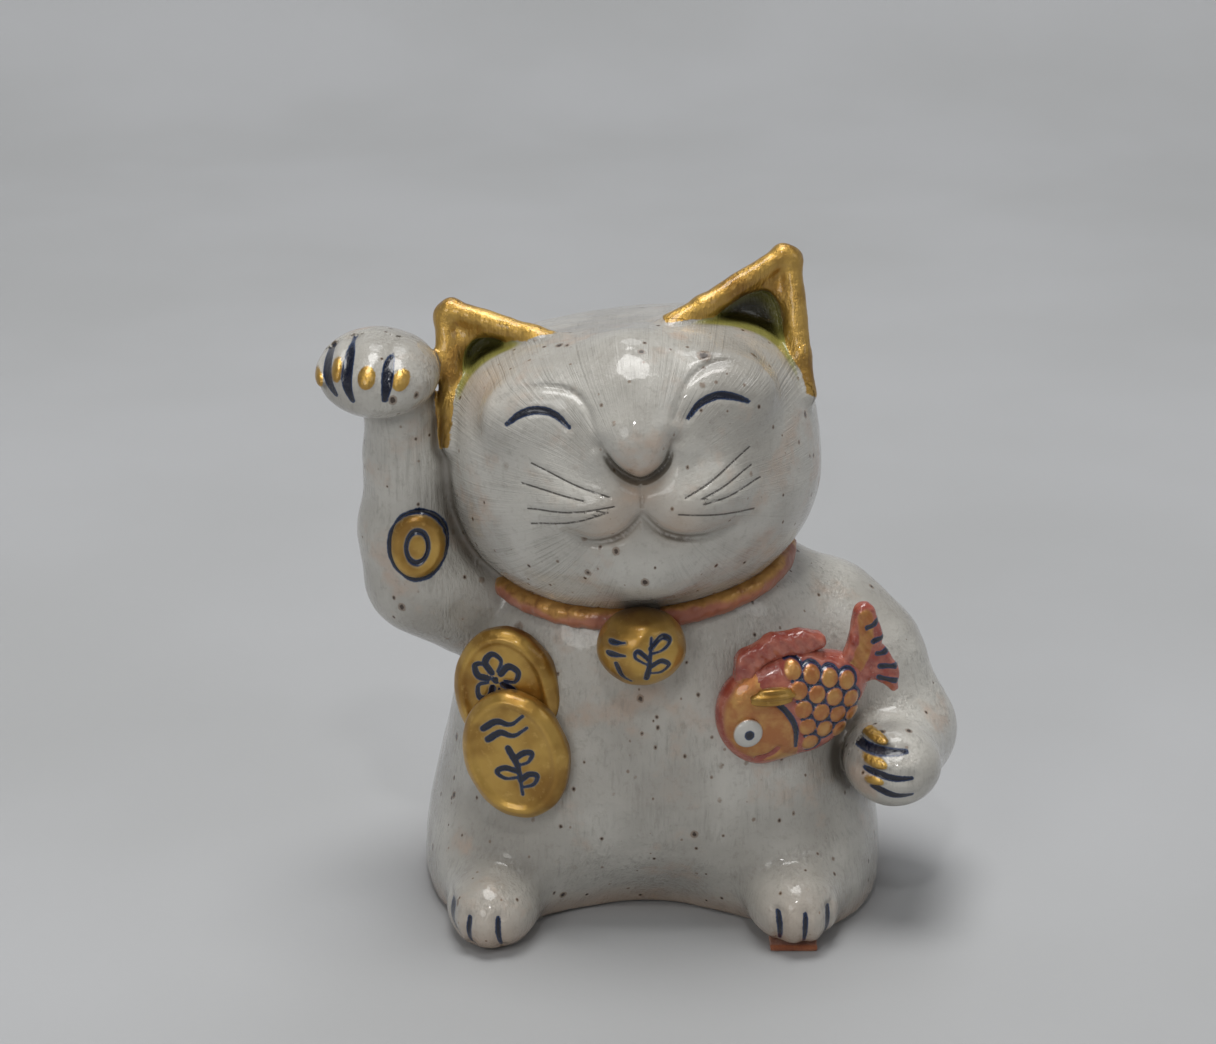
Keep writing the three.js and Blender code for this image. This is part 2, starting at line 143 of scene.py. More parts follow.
class Pot:
    # a form built up in rings on one axis: its outline is a list of (height, half width),
    # and depths lists (height, front, back) as shares of the width
    def __init__(self, outline, depths, corner):
        self.depths, self.corner = np.array(depths, dtype=float), corner
        line = smoothLine(outline, 8)
        line[:, 1] = np.maximum(line[:, 1], 0)
        self.low, self.step = line[:, 0].min() - 14, 0.5
        rows = int((line[:, 0].max() + 14 - self.low) / self.step) + 2
        cols = int((line[:, 1].max() + 16) / self.step) + 2
        z, r = np.meshgrid(self.low + self.step * np.arange(rows), self.step * np.arange(cols), indexing="ij")
        distance = np.full(z.shape, 1e9)
        for (za, ra), (zb, rb) in zip(line[:-1], line[1:]):
            length = (zb - za) ** 2 + (rb - ra) ** 2 + 1e-9
            t = np.clip(((z - za) * (zb - za) + (r - ra) * (rb - ra)) / length, 0, 1)
            distance = np.minimum(distance, np.hypot(z - za - t * (zb - za), r - ra - t * (rb - ra)))
        inside = r < np.interp(z, line[:, 0], line[:, 1], left=-1, right=-1)
        self.table = single(np.where(inside, -distance, distance))

    def __call__(self, p):
        x, y, z = p.T
        ahead = np.interp(z, self.depths[:, 0], self.depths[:, 1])
        behind = np.interp(z, self.depths[:, 0], self.depths[:, 2])
        depth = behind + (ahead - behind) * np.clip(0.5 - y / 8, 0, 1)
        r = (np.abs(x) ** self.corner + (np.abs(y) / depth) ** self.corner) ** (1 / self.corner)
        rows, cols = (n - 1.001 for n in self.table.shape)
        i = np.clip((z - self.low) / self.step, 0, rows)
        j = np.clip(r / self.step, 0, cols)
        i0, j0 = i.astype(int), j.astype(int)
        fi, fj = i - i0, j - j0
        t = self.table
        within = ((t[i0, j0] * (1 - fi) + t[i0 + 1, j0] * fi) * (1 - fj)
                  + (t[i0, j0 + 1] * (1 - fi) + t[i0 + 1, j0 + 1] * fi) * fj)
        return single(within + np.maximum(r - cols * self.step, 0))


def rounded(a, b, r):
    # where two distances meet at an edge rounded to r
    return np.hypot(np.maximum(a, 0), np.maximum(b, 0)) + np.minimum(np.maximum(a, b), 0) - r


def ovalSize(x, z, size):
    # 0 in the middle of an oval, 1 on its edge
    return np.hypot(x / size[0], z / size[1])


def stepped(value, low, high):
    # 0 at low, 1 at high, straight between
    return np.clip((value - low) / (high - low), 0, 1)


def facing(q, value, limit=0):
    # a mark kept to the side that looks forward
    return np.where(q[:, 1] < limit, value, -9)


def nowhere(p):
    # a mark that is well off every point
    return np.full(len(p), -9.0, dtype=np.float32)


def wobble(p, size, seed):
    # the slight unevenness that fingers leave
    total = 0
    for k in range(4):
        a, b, c = (math.sin(seed * 12.9 + k * 4.1 + m * 2.3) for m in range(3))
        scale = (1.0, 1.7, 2.6, 3.9)[k] * 2 * math.pi / size
        total = total + (0.5, 0.3, 0.15, 0.1)[k] * (
            np.sin(scale * (p[:, 0] * a + p[:, 1] * b + p[:, 2] * c) + seed * 3 + k)
            * np.cos(scale * 0.8 * (p[:, 0] * b - p[:, 1] * c + p[:, 2] * a) + seed + 2 * k))
    return total


# ---- from a form to a mesh ----
cornersOf = np.array([[i, j, k] for i in (0, 1) for j in (0, 1) for k in (0, 1)])
edgesOf = [(a, b) for a in range(8) for b in range(a + 1, 8)
           if np.abs(cornersOf[a] - cornersOf[b]).sum() == 1]


def sampled(form, low, high, cell):
    # values on a fine grid, worked out only in the blocks that the surface passes through
    block = 4
    counts = np.ceil((high - low) / (cell * block)).astype(int) + 1
    values = np.empty(tuple(counts * block), dtype=np.float32)
    index = np.stack(np.meshgrid(*[np.arange(n) for n in counts], indexing="ij"), -1).reshape(-1, 3)
    middle = single(low + (index * block + (block - 1) / 2) * cell)
    coarse = form(middle)
    near = np.abs(coarse) < cell * block * 1.9
    blocks = values.reshape(counts[0], block, counts[1], block, counts[2], block)
    far = single(np.where(coarse > 0, 99, -99)).reshape(counts)
    blocks[:] = far[:, None, :, None, :, None]
    inner = np.stack(np.meshgrid(*[np.arange(block)] * 3, indexing="ij"), -1).reshape(-1, 3)
    chosen = index[near]
    for start in range(0, len(chosen), 20000):
        part = chosen[start:start + 20000]
        points = single(low + ((part * block)[:, None] + inner[None]) * cell).reshape(-1, 3)
        found = form(points).reshape(-1, block, block, block)
        blocks[part[:, 0], :, part[:, 1], :, part[:, 2], :] = found
    return values


def netted(form, low, high, cell):
    # a net of four-sided faces over the surface, drawn tight onto it
    values = sampled(form, low, high, cell)
    inside = values < 0
    i, j, k = (n - 1 for n in values.shape)
    corners = [inside[a:a + i, b:b + j, c:c + k] for a, b, c in cornersOf]
    active = np.logical_or.reduce(corners) & ~np.logical_and.reduce(corners)
    cells = np.argwhere(active)
    number = np.full(active.shape, -1, dtype=np.int32)
    number[active] = np.arange(len(cells))
    level = np.stack([values[tuple((cells + c).T)] for c in cornersOf], 1)
    total = np.zeros((len(cells), 3))
    count = np.zeros(len(cells))
    for a, b in edgesOf:
        crosses = (level[:, a] < 0) != (level[:, b] < 0)
        gap = level[:, a] - level[:, b]
        t = np.where(crosses, level[:, a] / np.where(gap == 0, 1, gap), 0)
        total += np.where(crosses[:, None], cornersOf[a] + t[:, None] * (cornersOf[b] - cornersOf[a]), 0)
        count += crosses
    points = low + (cells + total / count[:, None]) * cell
    faces = []
    for axis in range(3):
        u, v = [(1, 2), (2, 0), (0, 1)][axis]
        step = np.eye(3, dtype=int)
        first = [slice(None)] * 3
        second = [slice(None)] * 3
        first[axis], second[axis] = slice(0, -1), slice(1, None)
        for m in (u, v):
            first[m] = second[m] = slice(1, -1)
        a, b = inside[tuple(first)], inside[tuple(second)]
        edge = np.argwhere(a != b)
        out = a[tuple(edge.T)]
        edge = edge + step[u] + step[v]
        ring = [number[tuple((edge - s).T)] for s in
                (step[u] + step[v], step[v], 0 * step[u], step[u])]
        quads = np.stack(ring, 1)
        quads[~out] = quads[~out][:, ::-1]
        faces.append(quads)
    return tighten(form, points, cell), np.concatenate(faces)


def slopeOf(form, points, reach):
    slope = np.empty_like(points)
    for axis in range(3):
        step = np.zeros(3)
        step[axis] = reach
        slope[:, axis] = (form(single(points + step)) - form(single(points - step))) / (2 * reach)
    return slope


def tighten(form, points, cell, rounds=2):
    for _ in range(rounds):
        slope = slopeOf(form, points, 0.12)
        size = (slope ** 2).sum(1)
        move = -(form(single(points)) / np.maximum(size, 0.2))[:, None] * slope
        length = np.linalg.norm(move, axis=1, keepdims=True)
        points = points + move * np.minimum(1, 0.7 * cell / np.maximum(length, 1e-9))
    return points


def makePiece(title, node, form, cell, finish, marks=None, skin=None):
    # builds the piece that stands for a CAD node; skin is the form its shading follows
    low, high = boxOf(node)
    cell = cell * (1.8 if rough else 1)
    margin = 8 if skin else 3
    points, faces = netted(form, low - margin, high + margin, cell)
    mesh = bpy.data.meshes.new(title)
    mesh.vertices.add(len(points))
    mesh.vertices.foreach_set("co", (points / 1000).ravel())
    mesh.loops.add(faces.size)
    mesh.loops.foreach_set("vertex_index", faces.ravel().astype(np.int32))
    mesh.polygons.add(len(faces))
    mesh.polygons.foreach_set("loop_start", np.arange(0, faces.size, 4, dtype=np.int32))
    mesh.update(calc_edges=True)
    mesh.shade_smooth()
    for markName, values in (marks(single(points)) if marks else {}).items():
        layer = mesh.attributes.new(markName, "FLOAT", "POINT")
        layer.data.foreach_set("value", single(values))
    if skin:
        slope = slopeOf(skin, points, 0.15)
        length = np.maximum(np.linalg.norm(slope, axis=1, keepdims=True), 1e-6)
        here = skin(single(points))
        onSkin = np.abs(here) < 0.3
        # cavity is high where the surface curves in: the glaze is darkened there, partly as pooled glaze and partly
        # as painted shade
        reach = skin(single(points + 2 * slope / length)) - here
        layer = mesh.attributes.new("cavity", "FLOAT", "POINT")
        layer.data.foreach_set("value", single(np.clip(1 - reach / 2, -1, 1)))
        own = np.empty(len(points) * 3, dtype=np.float32)
        mesh.vertices.foreach_get("normal", own)
        normals = np.where(onSkin[:, None], slope, own.reshape(-1, 3))
        normals /= np.maximum(np.linalg.norm(normals, axis=1, keepdims=True), 1e-9)
        mesh.normals_split_custom_set_from_vertices(normals.tolist())
    mesh.materials.append(finishes[finish])
    piece = bpy.data.objects.new(title, mesh)
    bpy.context.collection.objects.link(piece)
    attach(piece, "root")
    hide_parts(node)
    print(title, "made,", len(faces), "faces")
    return piece


# ---- the glazed forms ----
def framed(p, origin, degrees):
    return (p - single(origin)) @ single(turned(degrees))


def outOf(points, origin, degrees):
    return np.asarray(points, dtype=float) @ turned(degrees).T + np.asarray(origin)


body = {
    "centre": at("trunk_shell", 0, 0, -1, (0, -2, 0)),
    # height, half width, front, back
    "rings": [(-12, 44, 31, 37), (0, 52, 37.4, 43.7), (10.8, 52.5, 39, 45.5), (21.6, 50.7, 39.8, 45.5),
              (33.2, 47.8, 39.8, 43.5), (43.2, 45.7, 38.4, 40.5), (52.3, 43.6, 36.3, 36.9),
              (60.6, 41.5, 33.9, 33.2), (68.9, 38.3, 30.8, 29.6), (76.4, 32, 25.7, 24.6),
              (81.3, 20, 16.4, 15.5), (83, 0, 1, 1)],
    "corner": 2.5,
    "thighs": [(-30.5, -20, 8, -14), (30.5, -20, 8, 14)],
    "thighSize": (16, 20, 14), "thighSoft": 11,
    "underArch": ((-2.5, -67, -12), (37, 47, 36)), "archSoft": 15,
    "footSoft": 1.6, "wall": 6, "ceiling": 66,
}
head = {
    "centre": at("head_shell", 0, 0, 0, (0.5, 1.46, -2.47)),
    "turn": (-7, -6.5, 0),
    "rings": [(-32, 0), (-29.8, 15.2), (-24, 27.1), (-16, 35.5), (-7, 40), (2, 41),
              (11.9, 40.4), (20.4, 38.1), (26.5, 34.2), (30.9, 27.5), (33.3, 17.2), (34, 0)],
    "depth": 0.902,
    "corner": 2.15,
}
bodyPot = Pot([(h, w) for h, w, _, _ in body["rings"]],
              [(h, f / max(w, 1), b / max(w, 1)) for h, w, f, b in body["rings"]], body["corner"])
headPot = Pot(head["rings"], [(-40, head["depth"], head["depth"]), (40, head["depth"], head["depth"])],
              head["corner"])


def inHead(p):
    return framed(p, head["centre"], head["turn"])


def onHead(points):
    return outOf(points, head["centre"], head["turn"])


def bodyForm(p):
    q = p - single(body["centre"])
    d = bodyPot(q)
    for x, y, z, turn in body["thighs"]:
        d = blend(d, blob(q, (x, y, z), body["thighSize"], (0, 0, turn)), body["thighSoft"])
    d = press(d, blob(q, *body["underArch"]), body["archSoft"])
    return press(d, q[:, 2] - 0.1, body["footSoft"])


face = {
    "muzzle": [((-7.6, -26.4, -0.4), (13.4, 13.4, 8.8)), ((11.2, -26.4, -1.2), (13.4, 13.4, 9))],
    "nose": [(1.4, -23, 26, 5), (1.4, -28, 19.6, 7), (1.4, -33, 12.6, 8.4)],
    "noseTip": ((1.5, -33.4, 12.8), (7.8, 8.0, 8.0)),
    "chin": ((1.4, -26.5, -14.5), (11, 8.5, 8)),
    "sockets": [((-18, -42.4, 17.6), (13, 7.6, 8)), ((20, -42.4, 17.6), (13, 7.6, 8))],
    "lids": [((-17.4, -25.6, 18.6), (12, 7, 8)), ((19.2, -25.6, 18.6), (12, 7, 8))],
    # how wide and how deep each line is cut; the nose is cut before and after its tip is put on
    "noseBed": (2.1, 2.6),
    "cuts": {"nose": (0.8, 1.3), "lip": (0.7, 0.5), "brows": (0.8, 0.7), "eyes": (0.9, 0.35),
             "whiskers": (0.45, 0.22)},
}
# lines cut or painted on the face: across and up from the middle of the head, as it faces forward
faceLines = {
    "eyes": [[(-25, 18.4), (-21.8, 20.4), (-18.2, 21), (-14.8, 19.9), (-12, 17)],
             [(12.8, 16.4), (15.6, 18.9), (19.4, 20), (22.8, 19.2), (25.6, 17.8)]],
    "brows": [[(-27, 22.8), (-19, 25.4), (-11.2, 24.2), (-7.8, 20.8), (-6.6, 15.4)],
              [(10, 17), (12.9, 22.6), (17.4, 25.6), (23, 25.9), (29.4, 23)]],
    "nose": [(-5.6, 13), (-3.2, 8), (1.6, 4.4), (6.8, 7), (9, 12)],
    "lip": [(1.6, 4.2), (1.3, -3)],
    "mouth": [[(1.3, -2.8), (-3.8, -7), (-10.2, -7.8), (-15.2, -5)],
              [(1.3, -2.8), (4.4, -6.8), (8.6, -9), (13.8, -9.4), (19.4, -8)]],
    "whiskers": [[(-20.6, 9.8), (-13.1, 5.6), (-5.3, 2.3)], [(-23.3, 5.6), (-17.1, 3.7), (-10.8, 2)],
                 [(-22.5, 0.1), (-13.7, -0.3), (-4.5, 0.2)], [(-22.2, -3.2), (-13.9, -2.6), (-6, -0.9)],
                 [(10.7, 0.5), (17.7, 3.6), (24.7, 7.8)], [(13.9, -0.2), (19.3, 1.6), (24.7, 4)],
                 [(14.4, -1.4), (20.4, -0.6), (26.3, 1)], [(8.8, -3), (16.4, -4.2), (24.4, -5.4)]],
}
faceLines = {name: [np.array(smoothLine(line)) for line in (lines if isinstance(lines[0], list) else [lines])]
             for name, lines in faceLines.items()}


def flatDistance(x, z, line):
    # distance to a line on a flat drawing, how far along it (0 to 1), and on which side
    best = np.full(x.shape, 1e9, dtype=np.float32)
    along = np.zeros_like(best)
    side = np.zeros_like(best)
    links = len(line) - 1
    for i in range(links):
        ax, az = line[i][:2]
        dx, dz = line[i + 1][0] - ax, line[i + 1][1] - az
        size = dx * dx + dz * dz
        t = np.clip(((x - ax) * dx + (z - az) * dz) / size, 0, 1)
        d = np.hypot(x - ax - t * dx, z - az - t * dz)
        nearer = d < best
        best = np.where(nearer, d, best)
        along = np.where(nearer, (i + t) / links, along)
        side = np.where(nearer, ((x - ax) * dz - (z - az) * dx) / math.sqrt(size), side)
    return best, along, side


def groove(distance, wide, deep):
    # how much clay a round-bottomed tool takes away
    return deep * np.exp(-(distance / wide) ** 2)


def arched(along, end):
    # 1 in the middle of a line, falling away towards its ends
    return np.sin(np.pi * np.clip(along, end, 1 - end))


def headForm(p):
    q = inHead(p)
    d = headPot(q)
    for centre, radii in face["sockets"]:
        d = press(d, blob(q, centre, radii), 5)
    for centre, radii in face["lids"]:
        d = blend(d, blob(q, centre, radii), 6)
    d = blend(d, roll(q, face["nose"], 5), 10)
    for centre, radii in face["muzzle"]:
        d = blend(d, blob(q, centre, radii), 3.4)
    d = blend(d, blob(q, *face["chin"]), 6)
    front = q[:, 1] < -12
    x, z = q[:, 0][front], q[:, 2][front]
    cuts = face["cuts"]
    noseFar, noseAlong, _ = flatDistance(x, z, faceLines["nose"][0])
    near = d[front] + groove(noseFar, *face["noseBed"]) * arched(noseAlong, 0.06) ** 0.5
    near = blend(near, blob(q[front], *face["noseTip"]), 1.0)
    cut = groove(noseFar, *cuts["nose"]) * arched(noseAlong, 0.03) ** 0.7
    cut = np.maximum(cut, groove(flatDistance(x, z, faceLines["lip"][0])[0], *cuts["lip"]))
    for line in faceLines["mouth"]:
        far, along, _ = flatDistance(x, z, line)
        cut = np.maximum(cut, groove(far, 1.3, 1.2 + 0.9 * np.sin(3.1 * along)) * (1 - along * 0.5))
    for line in faceLines["brows"]:
        far, along, _ = flatDistance(x, z, line)
        cut += groove(far, *cuts["brows"]) * arched(along, 0.1)
    for kind in ("eyes", "whiskers"):
        for line in faceLines[kind]:
            cut += groove(flatDistance(x, z, line)[0], *cuts[kind])
    d[front] = near + cut
    return d


ears = {
    "right_ear": {"place": (-27.5, -3, 26.1), "lean": -41, "tall": 18.6, "wide": 13.4},
    "left_ear": {"place": (27.5, -3, 28.5), "lean": 28, "tall": 20.4, "wide": 13.4},
}
earShape = {"bead": 2.5, "rim": 3.7, "round": 2.2, "deep": 7, "tip": 4.4, "skirt": 1.2, "root": 13,
            "front": (-9, -2.6), "back": (3, 2)}  # how far ahead and behind, at the foot and at the tip


def inEar(p, name):
    ear = ears[name]
    return framed(p, onHead(ear["place"]), (-7, ear["lean"], 0))


def triangle(x, z, wide, tall):
    # signed distance to the flat shape of an ear, with its foot sunk in the head
    slope = math.hypot(wide, tall)
    one = (x * tall + z * wide - wide * tall) / slope
    other = (-x * tall + z * wide - wide * tall) / slope
    return -blend(-one, -other, earShape["tip"] * 2)


def earFaces(z, tall):
    t = np.clip(z / tall, -0.5, 1)
    return tuple(foot + (tip - foot) * t for foot, tip in (earShape["front"], earShape["back"]))


def earForm(name):
    ear = ears[name]
    wide, tall, bead = ear["wide"], ear["tall"], earShape["bead"]
    edge = []
    for x, z, r in ((-wide - 3, -6, bead), (-wide + 1.7, 0.4, bead), (-0.9, tall - bead - 0.4, bead),
                    (0.9, tall - bead - 0.4, bead), (wide - 1.7, 0.4, bead), (wide + 3, -6, bead)):
        edge.append((x, earFaces(z, tall)[0] + 0.7 * bead, z, r))

    def form(p):
        q = inEar(p, name)
        x, y, z = q.T
        flat = triangle(x, z, wide, tall)
        front, rear = earFaces(z, tall)
        r, skirt = earShape["round"], earShape["skirt"]
        a = flat + r + skirt
        b = np.abs(y - (front + skirt + rear) / 2) - (rear - front - skirt) / 2 + r
        d = blend(rounded(a, b, r), roll(q, edge, 1.5), 2)
        d = np.maximum(d, -z - earShape["root"])
        inner = np.maximum(flat + earShape["rim"], -z - 2.5)
        depth = y - front
        hollow = np.maximum(inner + 0.1 * np.clip(depth, 0, 9), depth - earShape["deep"])
        return press(d, hollow, 1.6) + 0.12 * wobble(q, 8, ear["tall"])
    return form


limbs = {
    # from the middle of each box: x, y, z, radius
    "raised_right_arm": [(21.6, 3.4, -23.8, 14.4), (6.5, .4, -19.8, 13), (-3.5, -2.6, -14.3, 12.4),
                         (-6.5, -3.6, -2.8, 10.6), (-6.1, -4.1, 12.6, 9.3), (-7.1, -6.6, 24.8, 8.7)],
    "left_arm": [(-22.7, 7.4, 10.8, 16), (-13.3, 6.4, 6.8, 17), (-4.5, 3.4, .8, 15.5),
                 (5.4, -1.6, -13.2, 12.4), (4.4, -12.6, -13.2, 10.4)],
    "bobtail": [(-13.3, -2.1, -6, 7), (-1.3, -.6, -4, 7), (9.7, -4.1, 3, 6), (15.7, -10.1, 10, 5)],
}


def limbForm(name):
    middle = at(name)
    points = [(*(middle + np.array(point[:3])), point[3]) for point in limbs[name]]
    return lambda p: roll(p, points, 5)


paws = {
    "raised_right_paw": {
        "place": at("raised_right_paw"), "turn": (10, 4, -6), "size": (13.1, 13.8, 8.6),
        "claws": [[(-10, 4.4), (-9.2, 1.6), (-7.2, -0.6)], [(-5, 6.2), (-4.6, 2.4), (-3.2, -0.6)],
                  [(3.6, 6), (3.9, 3.4), (3.7, 0.2)]],
        "clawWidth": 1.15,
        "beans": [(-11.8, 0.4, 1.4, 1.6), (-7.3, 4, 1.3, 1.9), (-0.4, 4.4, 1.9, 1.9), (6.6, 3.8, 1.8, 1.8)],
    },
    "left_paw": {
        "place": at("left_paw", 0, 0, 0, (0, 1.7, 0)), "turn": (0, 0, 22), "size": (10.6, 12, 9.4),
        "claws": [[(-8.5, 5.6), (-5, 5.8), (-0.8, 6)], [(-8.4, 1.8), (-5, 1), (-0.8, 0.9)],
                  [(-7.6, -1.8), (-4.2, -3.4), (-0.2, -3.5)]],
        "clawWidth": 0.75,
        "beans": [(-5.4, 8, 1.6, 1.1), (-7.4, 3.8, 1.6, 1.2), (-8, -0.2, 1.4, 1.1)],
    },
    "right_foot": {
        "place": at("right_foot", 0, -1, -1, (0, 15.4, 7.4)), "turn": (0, 0, -6), "size": (10.6, 15.5, 9.6),
        "claws": [[(-8, 3), (-8.2, 0), (-7.4, -3)], [(-3.6, 2.2), (-3.9, -1), (-3.6, -4.6)],
                  [(2.6, 2.4), (2.7, -1), (3, -4.8)]],
        "clawWidth": 0.55,
        "beans": [],
    },
    "left_foot": {
        "place": at("left_foot", 0, -1, -1, (0.2, 15.4, 6.6)), "turn": (0, 0, 6), "size": (10.6, 15.5, 9.6),
        "claws": [[(-5, 2.4), (-4.7, -1), (-4.3, -4.8)], [(0.6, 2.4), (0.6, -1.2), (0.8, -5)],
                  [(6, 2.4), (6, -1), (5.8, -4.6)]],
        "clawWidth": 0.55,
        "beans": [],
    },
}
clawDeep, beanHigh = 0.75, 0.8
for paw in paws.values():
    paw["claws"] = [smoothLine(line) for line in paw["claws"]]


def pawForm(name):
    paw = paws[name]
    foot = name.endswith("foot")

    def form(p):
        q = framed(p, paw["place"], paw["turn"])
        d = blob(q, (0, 0, 0), paw["size"])
        front = q[:, 1] < 2
        x, z = q[:, 0][front], q[:, 2][front]
        near = d[front]
        for line in paw["claws"]:
            far = flatDistance(x, z, line)[0]
            near = near + groove(far, 1.5 * paw["clawWidth"] + 0.5, clawDeep)
        for bx, bz, bw, bh in paw["beans"]:
            near = near - beanHigh * np.exp(-(((x - bx) / bw) ** 2 + ((z - bz) / bh) ** 2) ** 2)
        d[front] = near
        if foot:
            d = press(d, p[:, 2] - boxOf(name)[0][2] - 0.1, 1.6)
        return d
    return form


def clayRows(make, cell, *rows):
    return [(name, title, make(name), soft, cell) for name, title, soft in rows]


# each glazed piece lies over the ones before it: node, title, form, how soft it joins, how fine its net is
clay = [
    ("trunk_shell", "trunk", bodyForm, 0, 1.0),
    ("head_shell", "head", headForm, 3.0, 0.62),
    *clayRows(limbForm, 0.75, ("raised_right_arm", "raisedArm", 3.2), ("left_arm", "holdingArm", 4),
              ("bobtail", "tail", 3)),
    *clayRows(earForm, 0.5, ("right_ear", "rightEar", 2.2), ("left_ear", "leftEar", 2.2)),
    *clayRows(pawForm, 0.5, ("raised_right_paw", "raisedPaw", 3.4), ("left_paw", "holdingPaw", 2.2),
              ("right_foot", "rightFoot", 3.4), ("left_foot", "leftFoot", 3.4)),
]
joint = {"under": 1.4, "inset": 0.1, "run": 0.8}  # how far a piece reaches under the next, and draws back there
hand = [(0.22, 34, 1.3), (0.05, 9, 2.7)]  # height, size and seed of the waves that hands leave


def close(a, b, gap):
    lowA, highA = boxOf(a)
    lowB, highB = boxOf(b)
    return bool(np.all(lowA - gap < highB) and np.all(lowB - gap < highA))


def glazedForm(p, names, mine=None):
    whole, low, own, high = None, None, None, None
    for name, _, form, soft, _ in clay:
        if name not in names:
            continue
        d = form(p)
        whole = d if whole is None else blend(whole, d, soft)
        if name == mine:
            own = d
        elif own is None:
            low = d if low is None else np.minimum(low, d)
        else:
            high = d if high is None else np.minimum(high, d)
    for height, size, seed in hand:
        whole = whole - height * wobble(p, size, seed)
    whole = np.maximum(whole, 0.05 - p[:, 2])  # flat where it stands
    pad = np.abs(p - single(at("levelling_pad"))) - single(half("levelling_pad") + 0.3)
    whole = np.maximum(whole, -pad.max(axis=1))
    if mine is None:
        return whole
    cut = whole
    if low is not None:
        cut = np.maximum(cut, (own - low) / 2)
    if high is not None:
        past = (own - high) / 2
        cut = np.maximum(cut + joint["inset"] * np.clip(past / joint["run"], 0, 1), past - joint["under"])
    return cut


def hollowed(form, wall):
    # an open-bottomed shell: the inside follows the outside at the wall's thickness, and runs on out of the foot
    def shell(p):
        d = form(p)
        inside = d + wall
        foot = p[:, 2] < wall + 2
        if foot.any():
            lifted = p[foot].copy()
            lifted[:, 2] = wall + 2
            arch = blob(p[foot] - single(body["centre"]), *body["underArch"])
            inside[foot] = np.maximum(form(lifted), 2 - arch) + wall
        inside = np.maximum(inside, p[:, 2] - body["ceiling"])
        return press(d, inside, 1.2)
    return shell


# ---- what is painted on the glaze ----
warmSpots = [((1.5, -40, 3), 4.5), ((-6, -38, -4), 4.5), ((9, -38, -5), 4.5), ((-30, -20, 24), 7)]
medallion = {"place": at("arm_medallion"), "turn": (0, 6, 0), "size": (6.7, 8.2), "eye": (2.4, 3.7),
             "thick": 1.85, "round": 0.9}


def glazeMarks(p):
    # blue is how far inside a blue stroke a point is, gold the same for gilding, green for the ear glaze and its
    # painted shade deep in the hollow;
    # hair is the side of the nearest whisker line, and hairNear how far off it is
    blue, gold, green = nowhere(p), nowhere(p), nowhere(p)
    hair = np.full(len(p), 9.0, dtype=np.float32)
    hairNear = hair.copy()
    q = inHead(p)
    front = q[:, 1] < -14
    x, z = q[:, 0][front], q[:, 2][front]
    if len(x):
        ink, near, side = blue[front], hairNear[front], hair[front]
        for line in faceLines["eyes"]:
            far, along, _ = flatDistance(x, z, line)
            ink = np.maximum(ink, 0.34 + 0.54 * arched(along, 0.04) ** 0.6 - far)
        for line in faceLines["whiskers"]:
            far, _, across = flatDistance(x, z, line)
            side = np.where(far < near, across, side)
            near = np.minimum(near, far)
        blue[front], hairNear[front], hair[front] = ink, near, side
    for name, paw in paws.items():
        q = framed(p, paw["place"], paw["turn"])
        mine = (blob(q, (0, 0, 0), paw["size"]) < 3) & (q[:, 1] < 2)
        if not mine.any():
            continue
        x, z = q[:, 0][mine], q[:, 2][mine]
        ink, gilt = blue[mine], gold[mine]
        for line in paw["claws"]:
            far, along, _ = flatDistance(x, z, line)
            ink = np.maximum(ink, paw["clawWidth"] * (0.75 + 0.35 * np.sin(3.1 * along + 0.6)) - far)
        for bx, bz, bw, bh in paw["beans"]:
            size = ovalSize(x - bx, z - bz, (bw, bh))
            gilt = np.maximum(gilt, (1 - size) * min(bw, bh))
        blue[mine], gold[mine] = ink, gilt
    for name, ear in ears.items():
        q = inEar(p, name)
        x, y, z = q.T
        mine = (np.abs(x) < 22) & (np.abs(y) < 14) & (z > -12) & (z < 26)
        flat = triangle(x, z, ear["wide"], ear["tall"])
        ahead = y - earFaces(z, ear["tall"])[0]
        rim = np.minimum(flat + earShape["rim"] + 0.3, 7.4 - ahead + 0.6 * wobble(p, 11, 2.2))
        rim = np.minimum(rim, headPot(inHead(p)) - 0.9 + 0.4 * wobble(p, 7, 4.1))
        rim = np.minimum(rim, z + 5.4 + 0.5 * wobble(p, 6, 3.1))
        rim[mine] = np.minimum(rim[mine], 1 - earForm(name)(p[mine]))
        bowl = np.minimum(-(flat + earShape["rim"] - 0.9), z + 4.6)
        gold = np.where(mine, np.maximum(gold, rim), gold)
        # the green mark grows with depth into the ear hollow, so the glaze is painted darker there as shade
        shade = np.where(ahead > 1.2, np.minimum(bowl, 0.4 + 0.9 * (ahead - 1.2)), np.minimum(bowl, 0.4))
        shade = np.minimum(shade, (ahead + 0.7) * 0.9)
        green = np.where(mine & (ahead < 8.5), np.maximum(green, shade), green)
    q = framed(p, medallion["place"], medallion["turn"])
    size = ovalSize(q[:, 0], q[:, 2], medallion["size"])
    halo = (1.0 - size + 0.03 * wobble(p, 6, 1.9)) * medallion["size"][0]
    blue = np.maximum(blue, facing(q, halo, 8))
    warm = np.zeros(len(p), dtype=np.float32)
    q = inHead(p)
    for spot, size in warmSpots:
        warm += np.exp(-((q - np.array(spot)) ** 2).sum(axis=1) / size ** 2)
    for name in ("right_foot", "left_foot"):
        warm += 0.8 * np.exp(-((p - at(name, 0, -1, -0.4)) ** 2).sum(axis=1) / 9 ** 2)
    return {"blue": blue, "gold": gold, "green": green, "hair": hair, "hairNear": hairNear, "warm": warm}


